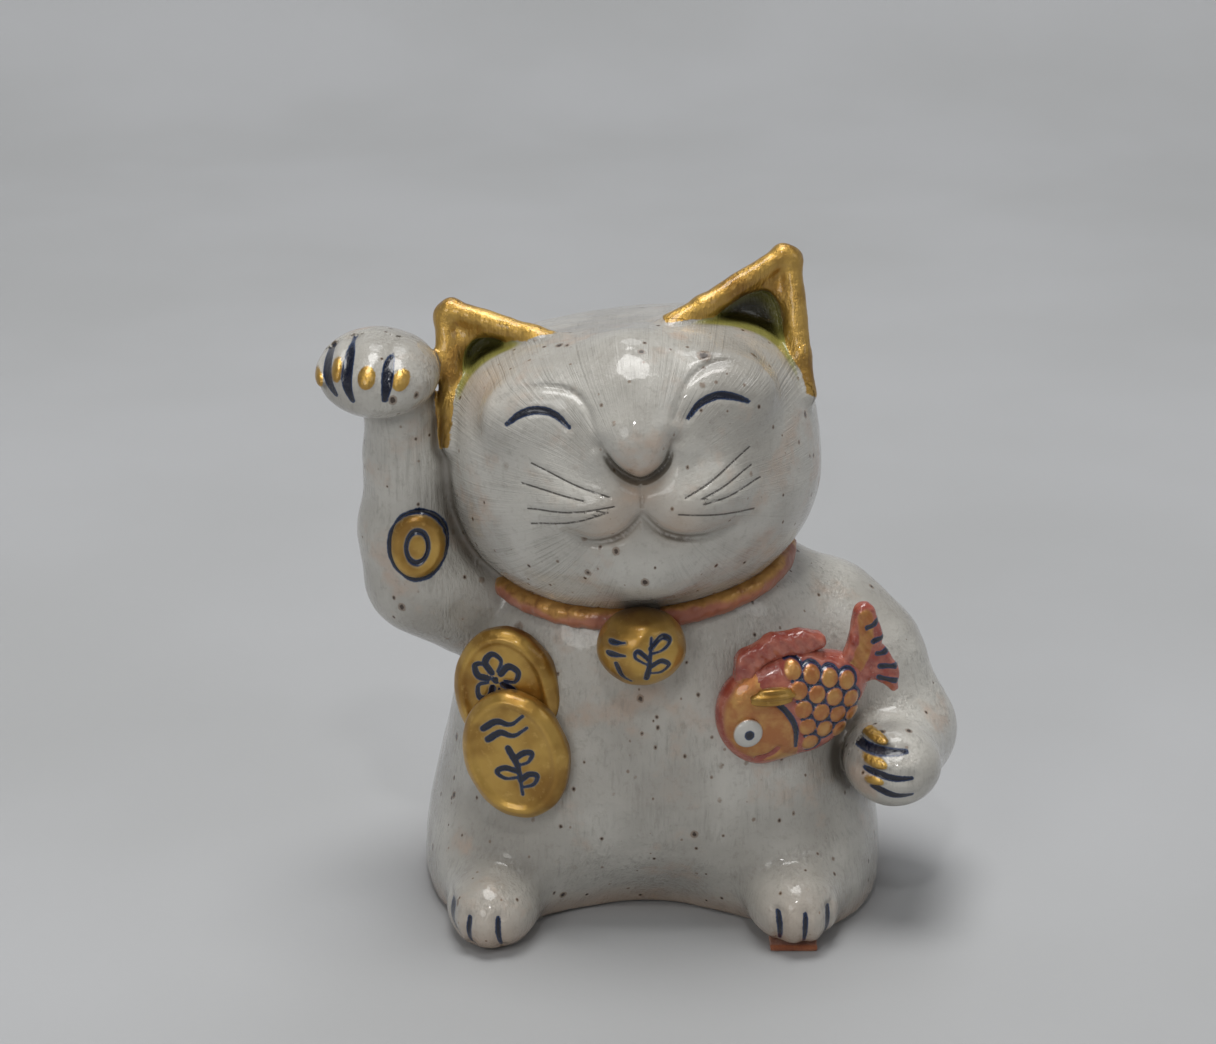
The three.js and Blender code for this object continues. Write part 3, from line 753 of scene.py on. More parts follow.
# ---- shader nodes written as sums ----
class Wire:
    # a socket that can be used in arithmetic
    def __init__(self, nodes, socket):
        self.nodes, self.socket = nodes, socket

    def sum(self, kind, *others):
        inputs = {i: value for i, value in enumerate((self, *others))}
        return self.nodes.node("ShaderNodeMath", {"operation": kind}, inputs)

    def __add__(self, other):
        return self.sum("ADD", other)

    def __sub__(self, other):
        return self.sum("SUBTRACT", other)

    def __mul__(self, other):
        return self.sum("MULTIPLY", other)

    def __rsub__(self, other):
        return self.sum("MULTIPLY", -1) + other

    __radd__, __rmul__ = __add__, __mul__

    def between(self, low, high):
        # 0 at low, 1 at high, smooth between
        return self.nodes.node("ShaderNodeMapRange", {"interpolation_type": "SMOOTHSTEP"},
                               {"Value": self, "From Min": low, "From Max": high})


class Finish:
    # a material being built
    def __init__(self, name, **constants):
        self.material = bpy.data.materials.new(name)
        self.material.use_nodes = True
        self.tree = self.material.node_tree
        self.shader = self.tree.nodes["Principled BSDF"]
        self.place = self.node("ShaderNodeTexCoord", output="Object")
        for socket, value in constants.items():
            self.shader.inputs[socket.replace("_", " ")].default_value = value

    def node(self, kind, settings=None, inputs=None, output=0):
        made = self.tree.nodes.new(kind)
        for name, value in (settings or {}).items():
            setattr(made, name, value)
        for name, value in (inputs or {}).items():
            if isinstance(value, Wire):
                self.tree.links.new(value.socket, made.inputs[name])
            else:
                made.inputs[name].default_value = value
        return Wire(self, made.outputs[output])

    def mark(self, name):
        return self.node("ShaderNodeAttribute", {"attribute_name": name}, output="Fac")

    def scaled(self, vector, size):
        return self.node("ShaderNodeVectorMath", {"operation": "MULTIPLY"}, {0: vector, 1: size})

    def cloud(self, scale, detail=2, rough=0.5, over=None):
        return self.node("ShaderNodeTexNoise", None,
                         {"Vector": over or self.place, "Scale": scale, "Detail": detail, "Roughness": rough})

    def mix(self, share, a, b):
        colour = lambda value: value if isinstance(value, Wire) else (*value, 1)
        return self.node("ShaderNodeMix", {"data_type": "RGBA"},
                         {0: share, 6: colour(a), 7: colour(b)}, output=2)

    def coat(self, share, colour):
        # one more layer over the colour so far
        self.colour = self.mix(share, self.colour, colour)

    def paint(self, ragged, edge, deep):
        # cobalt strokes, thinner and bluer at their edges
        blue = self.mark("blue") + ragged
        inked = blue.between(*edge)
        self.coat(inked, self.mix(blue.between(*deep), glazeLook["inkEdge"], glazeLook["ink"]))
        return inked

    def bump(self, height, distance, strength=1.0, under=None):
        inputs = {"Height": height, "Distance": distance, "Strength": strength}
        if under is not None:
            inputs["Normal"] = under
        return self.node("ShaderNodeBump", None, inputs)

    def give(self, **values):
        for socket, value in {"Base_Color": self.colour, **values}.items():
            self.tree.links.new(value.socket, self.shader.inputs[socket.replace("_", " ")])
        return self.material


def tone(red, green, blue):
    # a colour given as it looks on a screen, 0 to 255
    return tuple(((c / 255 + 0.055) / 1.055) ** 2.4 if c > 10 else c / 3295 for c in (red, green, blue))


glazeLook = {
    "white": tone(199, 196, 188), "grey": tone(172, 168, 160), "pink": tone(192, 170, 152),
    "speck": tone(52, 36, 24), "rust": tone(116, 86, 58), "ink": tone(10, 16, 36),
    "inkEdge": tone(34, 60, 100), "gold": tone(202, 163, 84), "goldDark": tone(154, 114, 50),
    "olive": tone(40, 36, 12), "lime": tone(150, 146, 78), "hair": tone(50, 44, 38),
    "streak": tone(150, 146, 138), "grain": tone(140, 132, 122), "bare": tone(178, 142, 112),
    "pooledGlazeShade": tone(84, 76, 64), "warm": tone(205, 172, 142),
    "specks": ((78, 0.12, 0.5), (170, 0.15, 0.28), (330, 0.16, 0.22)),  # scale, size, share left out
}


goldLook = {"bright": tone(224, 186, 108), "low": tone(96, 62, 26), "faded": tone(176, 166, 136)}
fishLook = {
    "red": tone(150, 66, 54), "rose": tone(186, 112, 92), "dust": tone(206, 178, 160),
    "orange": tone(200, 150, 84), "copper": tone(178, 112, 60), "white": tone(198, 196, 190),
}
strapLook = {
    "red": tone(150, 84, 60), "rose": tone(186, 122, 92), "gold": tone(198, 150, 82),
    "goldDark": tone(164, 114, 56), "brick": tone(120, 62, 46),
}
feltLook = {"brown": tone(150, 84, 50), "tan": tone(176, 108, 70), "fibre": tone(110, 58, 34)}


def goldColour(m):
    patch, worn = m.cloud(110, 3), m.cloud(700, 3, 0.6)
    colour = m.mix(patch.between(0.35, 0.7), glazeLook["gold"], glazeLook["goldDark"])
    return m.mix(worn.between(0.55, 0.75) * 0.4, colour, goldLook["bright"]), patch, worn


def glazeMaterial(name, streakTurn):
    look = glazeLook
    m = Finish(name, Specular_IOR_Level=0.4, Coat_Weight=0.55, Coat_Roughness=0.04)
    # combed streaks: down the body, or fanning out from the nose on the head
    if streakTurn == "fan":
        moved = m.node("ShaderNodeVectorMath", {"operation": "SUBTRACT"},
                       {0: m.place, 1: tuple(onHead((1.4, -30, 4)) / 1000)})
        fan = m.node("ShaderNodeVectorMath", {"operation": "NORMALIZE"}, {0: m.scaled(moved, (1, 0, 1))})
        far = m.node("ShaderNodeVectorMath", {"operation": "LENGTH"}, {0: moved}, output=1)
        streak = 0.5 + (m.cloud(62, 3, 0.6, fan) - 0.5) * far.between(0.006, 0.03)
    else:
        streak = m.cloud(1150, 3, 0.6, m.scaled(m.place, (1, 1, 0.08)))
    streak = 0.5 + (streak - 0.5) * (0.25 + m.cloud(130).between(0.4, 0.62) * 0.9)
    fine, broad, grain = m.cloud(1500, 3, 0.6), m.cloud(42, 3), m.cloud(620, 4, 0.7)
    m.colour = m.mix(broad.between(0.35, 0.68), look["white"], look["grey"])
    m.coat(m.cloud(75, 4, 0.6).between(0.54, 0.72) * 0.7, look["pink"])
    m.coat(grain.between(0.5, 0.72) * 0.3, look["grain"])
    m.coat(streak.between(0.48, 0.68) * 0.34, look["streak"])
    # bare clay shows through where the glaze runs thin at the foot
    up = m.node("ShaderNodeSeparateXYZ", None, {0: m.place}, output="Z")
    m.coat((1 - (up + broad * 0.008).between(0.003, 0.013)) * 0.6, look["bare"])
    # iron specks in three sizes
    heights = []
    for scale, size, share in look["specks"]:
        seeds, pick = (m.node("ShaderNodeTexVoronoi", {"feature": "F1"},
                              {"Vector": m.scaled(m.place, (1, 1, 0.82)), "Scale": scale}, output=output)
                       for output in ("Distance", "Color"))
        lot = m.node("ShaderNodeSeparateColor", None, {0: pick}, output="Red")
        ragged = seeds + (fine - 0.5) * 0.09
        grown = lot.between(share, 1) * size
        spot = (1 - (ragged - grown).between(-0.02, 0.035)) * lot.between(share - 0.01, share + 0.05)
        core = 1 - (ragged - grown * 0.7).between(-0.03, 0.01)
        m.coat(spot * 0.6, look["rust"])
        m.coat(spot * core * 0.95, look["speck"])
        heights.append(spot)
    # the glaze gathers grey in hollows, and the same darkening is painted shade in creases, between pieces and
    # under the head and bell; it runs thin and warm over edges
    cavity = m.mark("cavity")
    m.coat(cavity.between(0.08, 0.7) * 0.78, look["pooledGlazeShade"])
    m.coat((cavity * -1).between(0.12, 0.6) * 0.35, look["pink"])
    m.coat(m.mark("warm") * (0.12 + broad * 0.42), look["warm"])
    # ear glaze, lime at the rim of the hollow and turning to near-black olive deeper in: glaze pooling in the
    # hollow, and painted shade in the deep cup
    green = m.mark("green")
    m.coat(green.between(-0.9, 0.5), look["lime"])
    m.coat(green.between(0.7, 3.6), look["olive"])
    # whisker lines
    side, near = m.mark("hair"), m.mark("hairNear")
    hair = (1 - side.sum("ABSOLUTE").between(0.10, 0.26)) * (1 - near.between(0.24, 0.5))
    hair = hair * m.cloud(420).between(0.2, 0.42)
    m.coat(hair * 0.85, look["hair"])
    # gilding
    gilt = (m.mark("gold") + (fine - 0.5) * 0.5).between(-0.12, 0.12)
    golden, patch, worn = goldColour(m)
    m.coat(gilt, golden)
    inked = m.paint((fine - 0.5) * 0.35, (-0.16, 0.1), (-0.1, 0.42))
    rough = 0.2 + gilt * (0.14 + worn * 0.16) + heights[0] * 0.2
    normal = m.bump(streak + fine * 0.25 + grain * 0.3, 0.0006, 0.8)
    normal = m.bump(m.cloud(260), 0.0006, 0.35, normal)
    normal = m.bump(heights[0] * 0.6 + heights[1] * 0.4 - hair * 0.9, 0.0003, 0.7, normal)
    return m.give(Metallic=gilt * (1 - inked) * 0.85, Roughness=rough, Normal=normal)


def goldMaterial(name):
    m = Finish(name, Coat_Weight=0.35, Coat_Roughness=0.08)
    m.colour, patch, worn = goldColour(m)
    # the low mark darkens the gold: painted shade at the bell's top and underside, and a darker band round each
    # coin's edge
    m.coat(m.mark("low").between(0.2, 1) * 0.6, goldLook["low"])
    ragged = (worn - 0.5) * 0.3
    m.coat((m.mark("blue") + ragged).between(-0.42, -0.1) * 0.35, goldLook["faded"])
    inked = m.paint(ragged, (-0.14, 0.1), (-0.1, 0.4))
    normal = m.bump(patch + worn * 0.3, 0.0004, 0.5)
    normal = m.bump(inked, 0.0002, 0.5, normal)
    return m.give(Metallic=(1 - inked) * 0.82, Roughness=0.3 + worn * 0.18 - inked * 0.15, Normal=normal)


def fishMaterial(name):
    look = fishLook
    m = Finish(name, Coat_Weight=0.7, Coat_Roughness=0.06)
    patch, fine = m.cloud(240, 3, 0.6), m.cloud(1300, 3, 0.6)
    m.colour = m.mix(patch.between(0.35, 0.7), look["red"], look["rose"])
    m.coat(fine.between(0.6, 0.75) * 0.25, look["dust"])
    gilt = (m.mark("gold") + (patch - 0.5) * 1.1).between(-0.25, 0.45)
    m.coat(gilt, m.mix(patch.between(0.35, 0.66), look["orange"], look["copper"]))
    pale = m.mark("pale").between(-0.15, 0.15)
    m.coat(pale, look["white"])
    inked = m.paint((fine - 0.5) * 0.3, (-0.18, 0.12), (-0.05, 0.4))
    metal = gilt * (1 - inked) * (1 - pale) * 0.55
    return m.give(Metallic=metal, Roughness=0.22 + metal * 0.2 + fine * 0.08,
                  Normal=m.bump(patch * 0.7 + fine * 0.3, 0.0004, 0.6))


def strapMaterial(name):
    look = strapLook
    m = Finish(name, Coat_Weight=0.4, Coat_Roughness=0.12)
    patch, fine = m.cloud(70, 3), m.cloud(420, 3, 0.6)
    m.colour = m.mix(patch.between(0.35, 0.65), look["red"], look["rose"])
    gilt = (m.mark("gold") * 0.7 + (patch - 0.52) * 7 + (fine - 0.5) * 0.4).between(-0.1, 0.9)
    m.coat(gilt, m.mix(fine.between(0.35, 0.8), look["gold"], look["goldDark"]))
    m.coat(fine.between(0.56, 0.74) * 0.3, look["brick"])
    return m.give(Metallic=gilt * 0.7, Roughness=0.34 + fine * 0.2, Normal=m.bump(fine * 0.4 + patch, 0.0007, 0.7))


def feltMaterial(name):
    look = feltLook
    m = Finish(name, Sheen_Weight=0.4, Sheen_Roughness=0.5)
    fibre, patch = m.cloud(2600, 4, 0.7), m.cloud(300, 3)
    m.colour = m.mix(patch.between(0.3, 0.7), look["brown"], look["tan"])
    m.coat(fibre.between(0.45, 0.7) * 0.5, look["fibre"])
    return m.give(Roughness=0.85 + fibre * 0.1, Normal=m.bump(fibre, 0.0003, 0.8))


finishes = {
    "glaze": glazeMaterial("speckledGlaze", "down"), "headGlaze": glazeMaterial("combedHeadGlaze", "fan"),
    "gold": goldMaterial("goldLustre"), "fish": fishMaterial("paintedFishEnamel"),
    "collar": strapMaterial("giltRedStrap"), "felt": feltMaterial("brownFelt"),
}
print("finishes mixed")


# ---- the glazed pieces ----
for name, title, _, _, cell in clay:
    near = [other for other, *_ in clay if close(name, other, 9)]
    whole = lambda p, mine=name, near=near: glazedForm(p, near, mine)
    skin = lambda p, near=near: glazedForm(p, near)
    if name == "trunk_shell":
        whole = hollowed(whole, body["wall"])
    look = "headGlaze" if name == "head_shell" else "glaze"
    makePiece(title, name, whole, cell, look, marks=glazeMarks, skin=skin)


# ---- gold coins, bell and medallion ----
coins = {
    "size": (11.8, 14.6), "thick": 2.4, "round": 1.8, "lip": 0.8,
    "upper": {"node": "upper_koban", "roll": -8, "lean": (-4, 0, -14)},
    "lower": {"node": "lower_koban", "roll": -16, "lean": (-4, 0, -14)},
}
# plain brush marks: a plum flower, a sprig and ripples
coinMarks = {
    "upper": [([(-2.2, 5), (-3.4, 7.4), (-1.6, 9.2), (0.3, 7.6), (-0.8, 5.2)], 0.6),
              ([(-0.2, 4.6), (1.8, 6.2), (3.8, 4.8), (2.8, 2.7), (0.4, 3)], 0.6),
              ([(0, 2.2), (2.2, 0.6), (1.2, -1.6), (-1, -1.2), (-1, 1.2)], 0.6),
              ([(-2.4, 1.6), (-3.6, -0.8), (-5.8, -0.4), (-5.6, 2.2), (-3.4, 2.8)], 0.6),
              ([(-3.2, 3.8), (-5.4, 4.4), (-5.8, 6.8), (-3.8, 7), (-2.8, 5)], 0.6),
              ([(-1.5, 3.3), (-1.3, 3.5)], 0.75)],
    "lower": [([(-5, 7.6), (-1.6, 8.6), (1.4, 7.4), (4.6, 8.8)], 0.6),
              ([(-4.6, 5), (-1.4, 6), (1.4, 4.8), (4.8, 6)], 0.6),
              ([(-0.6, 2.2), (0.4, -2.4), (-0.2, -8.6)], 0.62),
              ([(0.2, -0.4), (2.6, 0.6), (4.4, 0.2), (3, -1.6), (0.4, -2)], 0.52),
              ([(0, -3.2), (-2.6, -2), (-4.6, -2.6), (-3, -4.4), (0, -4.6)], 0.52),
              ([(0.2, -5.4), (2.4, -4.4), (4.2, -5), (2.8, -6.8), (0, -7)], 0.52)],
}


def strokes(x, z, drawn):
    blue = nowhere(x)
    for line, width in drawn:
        far, along, _ = flatDistance(x, z, smoothLine(line, 5) if len(line) > 2 else np.array(line))
        blue = np.maximum(blue, 1.2 * width * (0.8 + 0.3 * np.sin(4 * along + 0.8)) - far)
    return blue


def makeCoin(title, key):
    coin = coins[key]
    middle = at(coin["node"])
    lean = turned(coin["lean"]) @ turned((0, coin["roll"], 0))
    into = lambda p: (p - single(middle)) @ single(lean)

    def form(p):
        q = into(p)
        x, y, z = q.T
        size = ovalSize(x, z, coins["size"])
        steep = np.hypot(x / coins["size"][0] ** 2, z / coins["size"][1] ** 2) / np.maximum(size, 1e-3)
        flat = (size - 1) / np.maximum(steep, 0.03) + 0.25 * wobble(p, 16, 5.2)
        dome = 0.35 * (1 - np.clip(size, 0, 1) ** 2)
        raised = coins["lip"] * np.exp(-((flat + 2.2) / 1.1) ** 2)
        r = coins["round"]
        a = flat + r
        b = np.abs(y + 0.3 * dome) - coins["thick"] - np.where(y < 0, raised + 0.4 * dome, 0) + r
        ink = strokes(x, z, coinMarks[key])
        return rounded(a, b, r) + np.where(y < 0, 0.22 * stepped(ink, -0.25, 0.25), 0)

    def marks(p):
        q = into(p)
        size = ovalSize(q[:, 0], q[:, 2], coins["size"])
        low = np.clip((size - 0.93) * 9, 0, 1) * stepped(q[:, 1], -2, 0)
        return {"blue": facing(q, strokes(q[:, 0], q[:, 2], coinMarks[key])), "low": low}

    makePiece(title, coin["node"], form, 0.36, "gold", marks=marks)


makeCoin("upperCoin", "upper")
makeCoin("lowerCoin", "lower")

bell = {
    "place": at("bell", 0, 0, 0, (0, 0.4, 0)), "size": (9.6, 9, 8.4),
    "marks": [([(-6.6, 3.2), (-3.6, 3.6)], 0.42), ([(-7, 0.8), (-3.6, 1)], 0.5),
              ([(1, -4.4), (1.6, -1), (2, 4.6)], 0.5),
              ([(1.8, 2.6), (4.2, 4.6), (6, 3.4), (4.2, 2), (1.8, 1.6)], 0.42),
              ([(1.4, 0.4), (-0.8, 2.2), (-1.4, 0.8), (1.2, -0.8)], 0.4),
              ([(1.4, -1.6), (4, -0.2), (5.8, -1.6), (4, -3), (1.2, -2.8)], 0.42),
              ([(-5.4, -1.2), (-4.2, -4), (-2.2, -5.6)], 0.42)],
}


def bellForm(p):
    q = p - single(bell["place"])
    d = blob(q, (0, 0, 0), bell["size"]) + 0.2 * wobble(p, 14, 6.4)
    ink = strokes(q[:, 0], q[:, 2], bell["marks"])
    return d + np.where(q[:, 1] < 0, 0.25 * stepped(ink, -0.25, 0.25), 0)


def bellMarks(p):
    q = p - single(bell["place"])
    # painted shade: darker brown at the top, where the bell meets the chin and collar, and less so at its underside
    low = stepped(q[:, 2], 5.6, 8) + stepped(-q[:, 2], 6.4, 8.4) * 0.6
    return {"blue": facing(q, strokes(q[:, 0], q[:, 2], bell["marks"])), "low": low}


makePiece("bell", "bell", bellForm, 0.36, "gold", marks=bellMarks)


def medallionForm(p):
    q = framed(p, medallion["place"], medallion["turn"])
    size = ovalSize(q[:, 0], q[:, 2], medallion["size"])
    inner = ovalSize(q[:, 0], q[:, 2], medallion["eye"])
    flat = (size - 0.97) * sum(medallion["size"]) / 2
    ring = (0.55 * np.exp(-((size - 0.7) / 0.15) ** 2) + 0.4 * np.exp(-(inner / 0.7) ** 2)
            - 0.35 * np.exp(-((inner - 1) / 0.16) ** 2) - 0.4 * np.exp(-((size - 0.98) / 0.09) ** 2))
    dome = 0.6 * np.clip(1 - size, 0, 1)
    r = medallion["round"]
    b = (np.abs(q[:, 1] - 0.35 * (q[:, 0] / 3) ** 2 + 0.55) - medallion["thick"] - dome
         - np.where(q[:, 1] < 0, ring, 0) + r)
    return rounded(flat + r, b, r)


def medallionMarks(p):
    q = framed(p, medallion["place"], medallion["turn"])
    size = ovalSize(q[:, 0], q[:, 2], medallion["size"])
    inner = ovalSize(q[:, 0], q[:, 2], medallion["eye"])
    outer = (size - 0.91 + 0.02 * wobble(p, 5, 2.9)) * medallion["size"][0]
    eye = 0.5 - np.abs(inner - 1) * medallion["eye"][0]
    return {"blue": np.maximum(outer, eye), "low": np.zeros(len(p))}


makePiece("armMedallion", "arm_medallion", medallionForm, 0.3, "gold", marks=medallionMarks)


# ---- collar straps, laid in the crease under the chin ----
strap = {"radius": 2.5, "nest": 1.9, "lump": 0.3,
         "right": (-13, -84, 10), "left": (13, 240, 34)}


def creasePoint(degrees):
    # where a rod along the neck touches both the head and the trunk
    across, ahead = math.sin(math.radians(degrees)), -math.cos(math.radians(degrees))
    point = onHead((across * 36, ahead * 33, -22)).reshape(1, 3)
    touching = (lambda q: headPot(inHead(q)), bodyForm)
    for _ in range(24):
        for form in touching:
            slope = slopeOf(form, point, 0.2)
            slope[:, :2] = (slope[:, :2] @ np.array([across, ahead]))[:, None] * np.array([across, ahead])
            gap = form(single(point)) - strap["nest"]
            point = point - 0.7 * (gap / np.maximum((slope ** 2).sum(1), 0.2))[:, None] * slope
    return point[0]


def makeStrap(title, node, key):
    start, end, count = strap[key]
    path = smoothLine([creasePoint(start + (end - start) * i / (count - 1)) for i in range(count)], 3)
    points = [(*point, strap["radius"]) for point in path]

    def form(p):
        d = roll(p, points)
        return d + strap["lump"] * wobble(p, 7.5, 7.7) + 0.15 * wobble(p, 3.2, 3.3)

    def marks(p):
        level = path[np.argmin([(p[:, 0] - x) ** 2 + (p[:, 1] - y) ** 2 for x, y, z, _ in points], axis=0), 2]
        return {"gold": (p[:, 2] - level - 0.2) * 0.9}

    makePiece(title, node, form, 0.5, "collar", marks=marks)


makeStrap("rightStrap", "right_collar_strap", "right")
makeStrap("leftStrap", "left_collar_strap", "left")


# ---- the fish ----
fish = {
    "place": at("fish_body", 0, 0, 0, (0, 0.1, -0.1)), "turn": (0, -13.5, 12),
    "lumps": [((-7.4, 0.4, -0.8), (9.8, 6.2, 11.6)), ((1.5, 0.4, -0.2), (12.6, 6.6, 12.4)),
              ((10, 1, 1.2), (8, 5, 7))],
    "gill": [(-6.8, 5.4), (-3.4, 2.6), (-1.4, -2.6), (-2, -8.4)],
    "mouth": [(-10.6, -8.8), (-8, -8.6), (-6, -7.4)],
    "scaleStep": (4.1, 4.4), "scaleSize": 1.95, "scaled": (16.5, 11.6), "edge": (16.5, 12.4),
}


def inFish(p):
    return framed(p, fish["place"], fish["turn"])


def scaleCentres():
    across, up = fish["scaleStep"]
    rows = []
    for i in range(5):
        for j in range(-2, 3):
            x, z = 1.2 + i * across * 0.9, (j + (0.5 if i % 2 else 0)) * up + 0.5 + 0.12 * i
            if ovalSize(x, z, fish["scaled"]) ** 2 < 0.86:
                rows.append((x, z))
    return rows


scales = scaleCentres()
fishGill, fishMouth = smoothLine(fish["gill"]), smoothLine(fish["mouth"])


def fishMaps(p):
    # distance inside the nearest scale, inside its dark outline, and the painted lines
    q = inFish(p)
    x, z = q[:, 0], q[:, 2]
    scale, arc = nowhere(p), nowhere(p)
    for sx, sz in scales:
        far = np.hypot(x - sx, (z - sz) * 0.94)
        scale = np.maximum(scale, fish["scaleSize"] - far)
        ring = 0.36 - np.abs(far - fish["scaleSize"] - 0.38)
        arc = np.maximum(arc, np.where(x > sx - 0.9, ring, ring - np.clip(sx - 0.9 - x, 0, 9)))
    gillFar, gillAlong, _ = flatDistance(x, z, fishGill)
    gill = 0.62 * (0.6 + 0.5 * np.sin(np.pi * gillAlong)) - gillFar
    arc = np.where(scale > 0, np.minimum(arc, -scale), arc)
    behind = x > np.interp(z, fishGill[::-1, 1], fishGill[::-1, 0]) + 0.4
    return q, np.where(behind, scale, -9), np.where(behind, arc, -9), gill, flatDistance(x, z, fishMouth)[0], behind


def fishForm(p):
    q = inFish(p)
    d = None
    for centre, radii in fish["lumps"]:
        part = blob(q, centre, radii)
        d = part if d is None else blend(d, part, 3)
    near = np.abs(d) < 3
    if near.any():
        _, scale, arc, gill, mouth, behind = fishMaps(p[near])
        change = -0.55 * np.sqrt(np.clip(scale + 0.3, 0, 1.2)) + 0.3 * stepped(arc, -0.3, 0.3)
        change = change + 0.5 * stepped(gill, -0.4, 0.4) + groove(mouth, 0.7, 0.6)
        d[near] = d[near] + np.where(q[near][:, 1] < 1.5, change, 0)
    return d


def fishMarks(p):
    q, scale, arc, gill, mouth, behind = fishMaps(p)
    edge = ovalSize(q[:, 0], q[:, 2], fish["edge"])
    headGold = np.where(behind, -9, np.minimum((0.98 - edge) * 9, mouth * 1.6 - 1))
    gold = np.maximum(np.minimum(scale * 1.2, (1.0 - edge) * 9), headGold)
    return {"gold": facing(q, gold, 2.5), "blue": facing(q, np.maximum(arc, gill), 1.5), "pale": nowhere(p)}


makePiece("fishBody", "fish_body", fishForm, 0.42, "fish", marks=fishMarks)

fins = {
    "round": 1.6,
    "dorsal": {"node": "fish_dorsal_fin", "middle": [(-9.6, 7.6, 2.2), (-7.4, 12.6, 2.5), (-1, 14.4, 2.6),
                                                     (5, 13.4, 2.6), (8.4, 12.6, 2.0)], "thick": 2.2},
    "tail": {"node": "fish_tail_fin", "middle": [(13.4, 2.6, 3.4), (17, 6, 3.4), (19.2, 10, 3.4), (20, 15.2, 2.6)],
             "second": [(14, 2, 3.2), (19.4, 4.4, 3.8), (22, 0.6, 2.6), (22.8, -3.4, 1.1)],
             "stripes": [((19.6, 12.6), (22.8, 13.6)), ((20.2, 9.2), (23.4, 9.4)), ((20.6, 6), (24, 5.8)),
                         ((20.4, 3), (24, 1.8)), ((19.8, 0.4), (23.4, -1.6))], "thick": 2.0},
}


def makeFin(title, key):
    fin = fins[key]
    lines = [fin["middle"]] + ([fin["second"]] if "second" in fin else [])

    def flat(q):
        d = None
        for line in lines:
            flatPoints = [(x, 0, z, r) for x, z, r in line]
            level = q * single([1, 0, 1])
            one = roll(level, flatPoints, 1.5)
            d = one if d is None else blend(d, one, 1.2)
        return d

    def form(p):
        q = inFish(p)
        side = flat(q)
        ribs = 0.22 * np.sin(q[:, 0] * 2.1 + q[:, 2] * 1.1)
        r = fins["round"]
        b = np.abs(q[:, 1] + 0.2) - fin["thick"] - ribs * np.clip(-side, 0, 1) + r
        return rounded(side + r, b, r) + 0.2 * wobble(p, 6, 8.8)

    def marks(p):
        q = inFish(p)
        blue = nowhere(p)
        if key == "tail":
            for a, b in fin["stripes"]:
                blue = np.maximum(blue, 0.62 - flatDistance(q[:, 0], q[:, 2], [a, b])[0])
            ridge = roll(q * single([1, 0, 1]),
                         [(x - 0.3, 0, z, 1.7) for x, z, _ in fin["middle"]])
            gold = -ridge
            blue = facing(q, blue)
        else:
            gold = 0.5 - np.abs(q[:, 2] - 9.4) - 0.3 * np.abs(q[:, 0] + 9.5)
        return {"blue": blue, "gold": gold, "pale": nowhere(p)}

    makePiece(title, fin["node"], form, 0.42, "fish", marks=marks)


makeFin("fishDorsalFin", "dorsal")
makeFin("fishTailFin", "tail")

pectoral = {"place": at("fish_pectoral_fin"), "size": (5.0, 1.7, 2.2), "turn": (0, -3, 12)}


def pectoralForm(p):
    q = framed(p, pectoral["place"], pectoral["turn"])
    ribs = 0.16 * np.sin(q[:, 2] * 4.2 + 0.25 * q[:, 0])
    return blob(q, (0, 0, 0), pectoral["size"]) - ribs


makePiece("fishSideFin", "fish_pectoral_fin", pectoralForm, 0.3, "gold",
          marks=lambda p: {"blue": nowhere(p), "low": np.zeros(len(p))})


fishEye = {"place": at("fish_eye", 0, 0, 0, (0, -0.3, 0)), "size": (3.3, 1.5, 3.3),
           "pupil": 1.1, "white": 3.2, "rim": 2.9}


def eyeForm(p):
    return blob(framed(p, fishEye["place"], fish["turn"]), (0, 0, 0), fishEye["size"])


def eyeMarks(p):
    q = framed(p, fishEye["place"], fish["turn"])
    far = np.hypot(q[:, 0], q[:, 2])
    return {"gold": np.where(far > fishEye["rim"], far - fishEye["rim"], -9),
            "blue": fishEye["pupil"] - far, "pale": fishEye["white"] - far}


makePiece("fishEye", "fish_eye", eyeForm, 0.26, "fish", marks=eyeMarks)


def padForm(p):
    # a pad of felt with worn, rounded corners
    middle, size = at("levelling_pad"), half("levelling_pad")
    q = np.abs(p - single(middle)) - single(size - 0.5)
    d = np.linalg.norm(np.maximum(q, 0), axis=1) + np.minimum(q.max(axis=1), 0) - 0.45
    return d + 0.12 * wobble(p, 2.6, 9.1) * (q[:, 2] < 0.2)


makePiece("levellingPad", "levelling_pad", padForm, 0.32, "felt")
print("pieces done")


# ---- floor, light and camera ----
stage = {
    "sweep": (760, 520, 1100), "spokes": 96,  # flat to here, the bend, the height of the wall
    "floor": tone(188, 189, 191), "camera": (-7.8, 0.2, 84), "distance": 639, "height": 20, "lens": 84,
    "lights": [
        # place, aim, size, watts, colour
        ((-60, -10, 1700), (0, 20, 60), 860, 16, (1, 0.995, 0.98)),
        ((-320, -620, 480), (0, 0, 70), 300, 0.8, (1, 0.99, 0.97)),
        ((460, -300, 560), (0, 0, 60), 260, 0.22, (0.96, 0.98, 1)),
        ((-20, -520, 760), (0, 0, 80), 64, 0.6, (1, 1, 1)),
        ((0, 760, 1500), (0, 1150, 300), 700, 4, (0.98, 0.99, 1)),
    ],
    "sky": (0.80, 0.82, 0.85), "skyPower": 0.11, "mottle": tone(181, 182, 183),
}


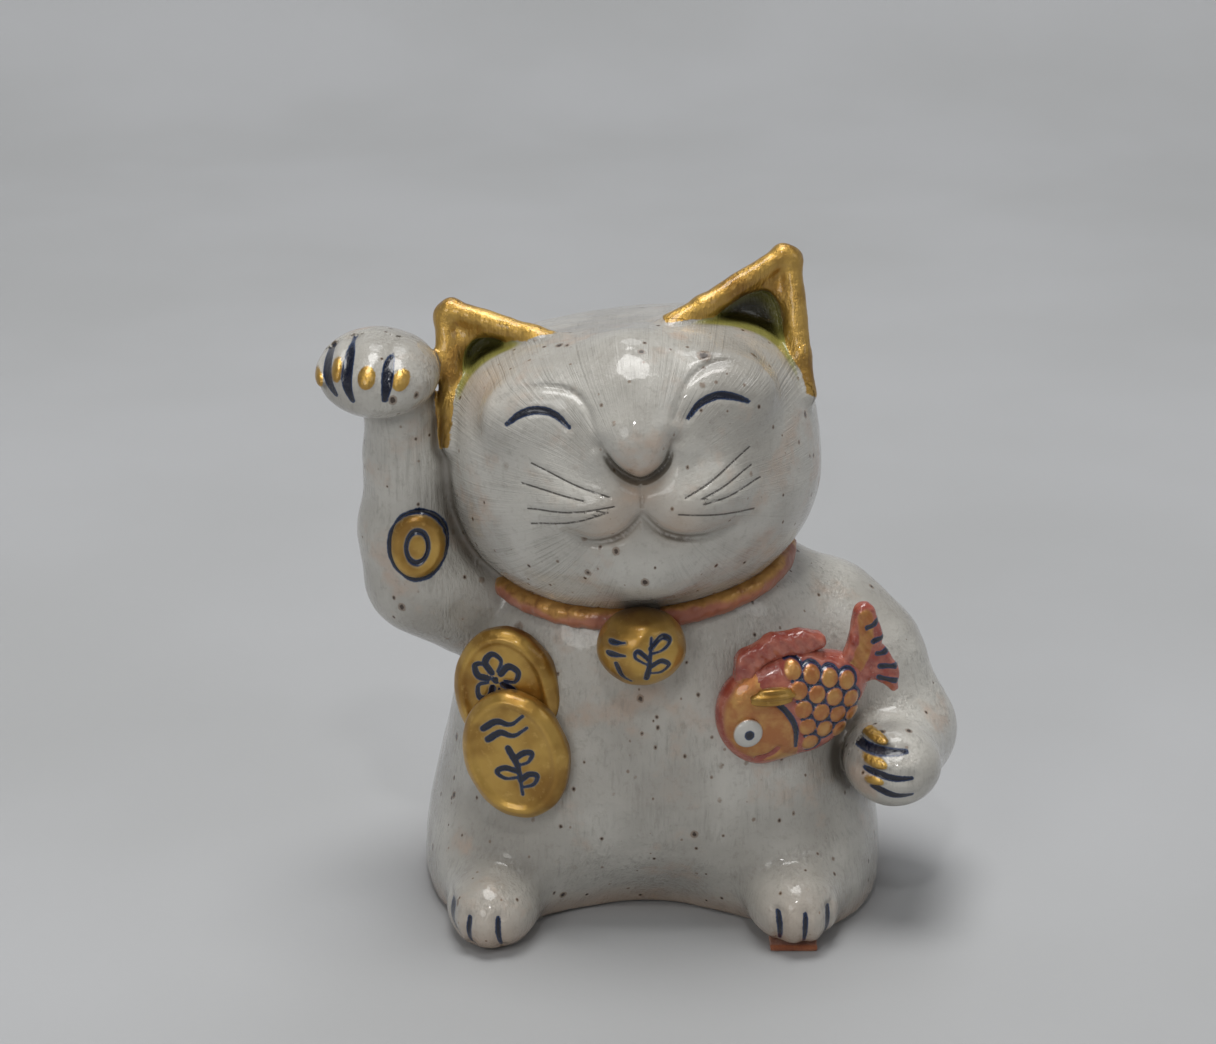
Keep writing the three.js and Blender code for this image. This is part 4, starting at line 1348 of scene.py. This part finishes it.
def makeSweep():
    # a floor that curves up into a low wall all round, so that every side has a plain ground
    flat, bend, wall = stage["sweep"]
    rows = [(r, 0) for r in np.linspace(0.5, flat, 6)]
    rows += [(flat + bend * math.sin(a), bend - bend * math.cos(a)) for a in np.linspace(0, math.pi / 2, 26)[1:]]
    rows += [(flat + bend, wall)]
    spokes = stage["spokes"]
    turns = [2 * math.pi * i / spokes for i in range(spokes)]
    points = [(r * math.sin(t), -r * math.cos(t), z) for r, z in rows for t in turns]
    corner = lambda i, j: i * spokes + j % spokes
    faces = [(corner(i, j), corner(i + 1, j), corner(i + 1, j + 1), corner(i, j + 1))
             for i in range(len(rows) - 1) for j in range(spokes)]
    faces.append(tuple(range(spokes))[::-1])
    mesh = bpy.data.meshes.new("paperSweep")
    mesh.from_pydata([tuple(c / 1000 for c in point) for point in points], [], faces)
    mesh.shade_smooth()
    sweep = bpy.data.objects.new("paperSweep", mesh)
    bpy.context.collection.objects.link(sweep)
    sweep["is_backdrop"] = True
    m = Finish("palePaper", Roughness=0.75, Specular_IOR_Level=0.25)
    m.colour = m.mix(m.cloud(5, 3).between(0.3, 0.7), stage["floor"], stage["mottle"])
    mesh.materials.append(m.give(Normal=m.bump(m.cloud(500, 3), 0.0002, 0.2)))


makeSweep()
for index, (place, aim, size, watts, colour) in enumerate(stage["lights"]):
    light = bpy.data.lights.new("softbox" + str(index), "AREA")
    light.shape, light.size, light.energy, light.color = "DISK", size / 1000, watts, colour
    lamp = bpy.data.objects.new(light.name, light)
    lamp.location = Vector(place) / 1000
    lamp.rotation_euler = (Vector(aim) - Vector(place)).to_track_quat("-Z", "Y").to_euler()
    bpy.context.collection.objects.link(lamp)
world = bpy.data.worlds.new("paleRoom")
world.use_nodes = True
world.node_tree.nodes["Background"].inputs["Color"].default_value = (*stage["sky"], 1)
world.node_tree.nodes["Background"].inputs["Strength"].default_value = stage["skyPower"]
bpy.context.scene.world = world
bpy.context.scene.view_settings.view_transform = "Standard"

camera = bpy.data.cameras.new("camera")
camera.lens, camera.sensor_width = stage["lens"], 36
eye = bpy.data.objects.new("camera", camera)
rise = math.radians(stage["height"])
back = Vector((0, -math.cos(rise), math.sin(rise)))
eye.location = (Vector(stage["camera"]) + back * stage["distance"]) / 1000
eye.rotation_euler = (-back).to_track_quat("-Z", "Y").to_euler()
camera.clip_start, camera.clip_end = 0.05, 10
bpy.context.collection.objects.link(eye)
bpy.context.scene.camera = eye
print("stage set")

{"cad": cadBox, "visual": [list(corner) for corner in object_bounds()]}
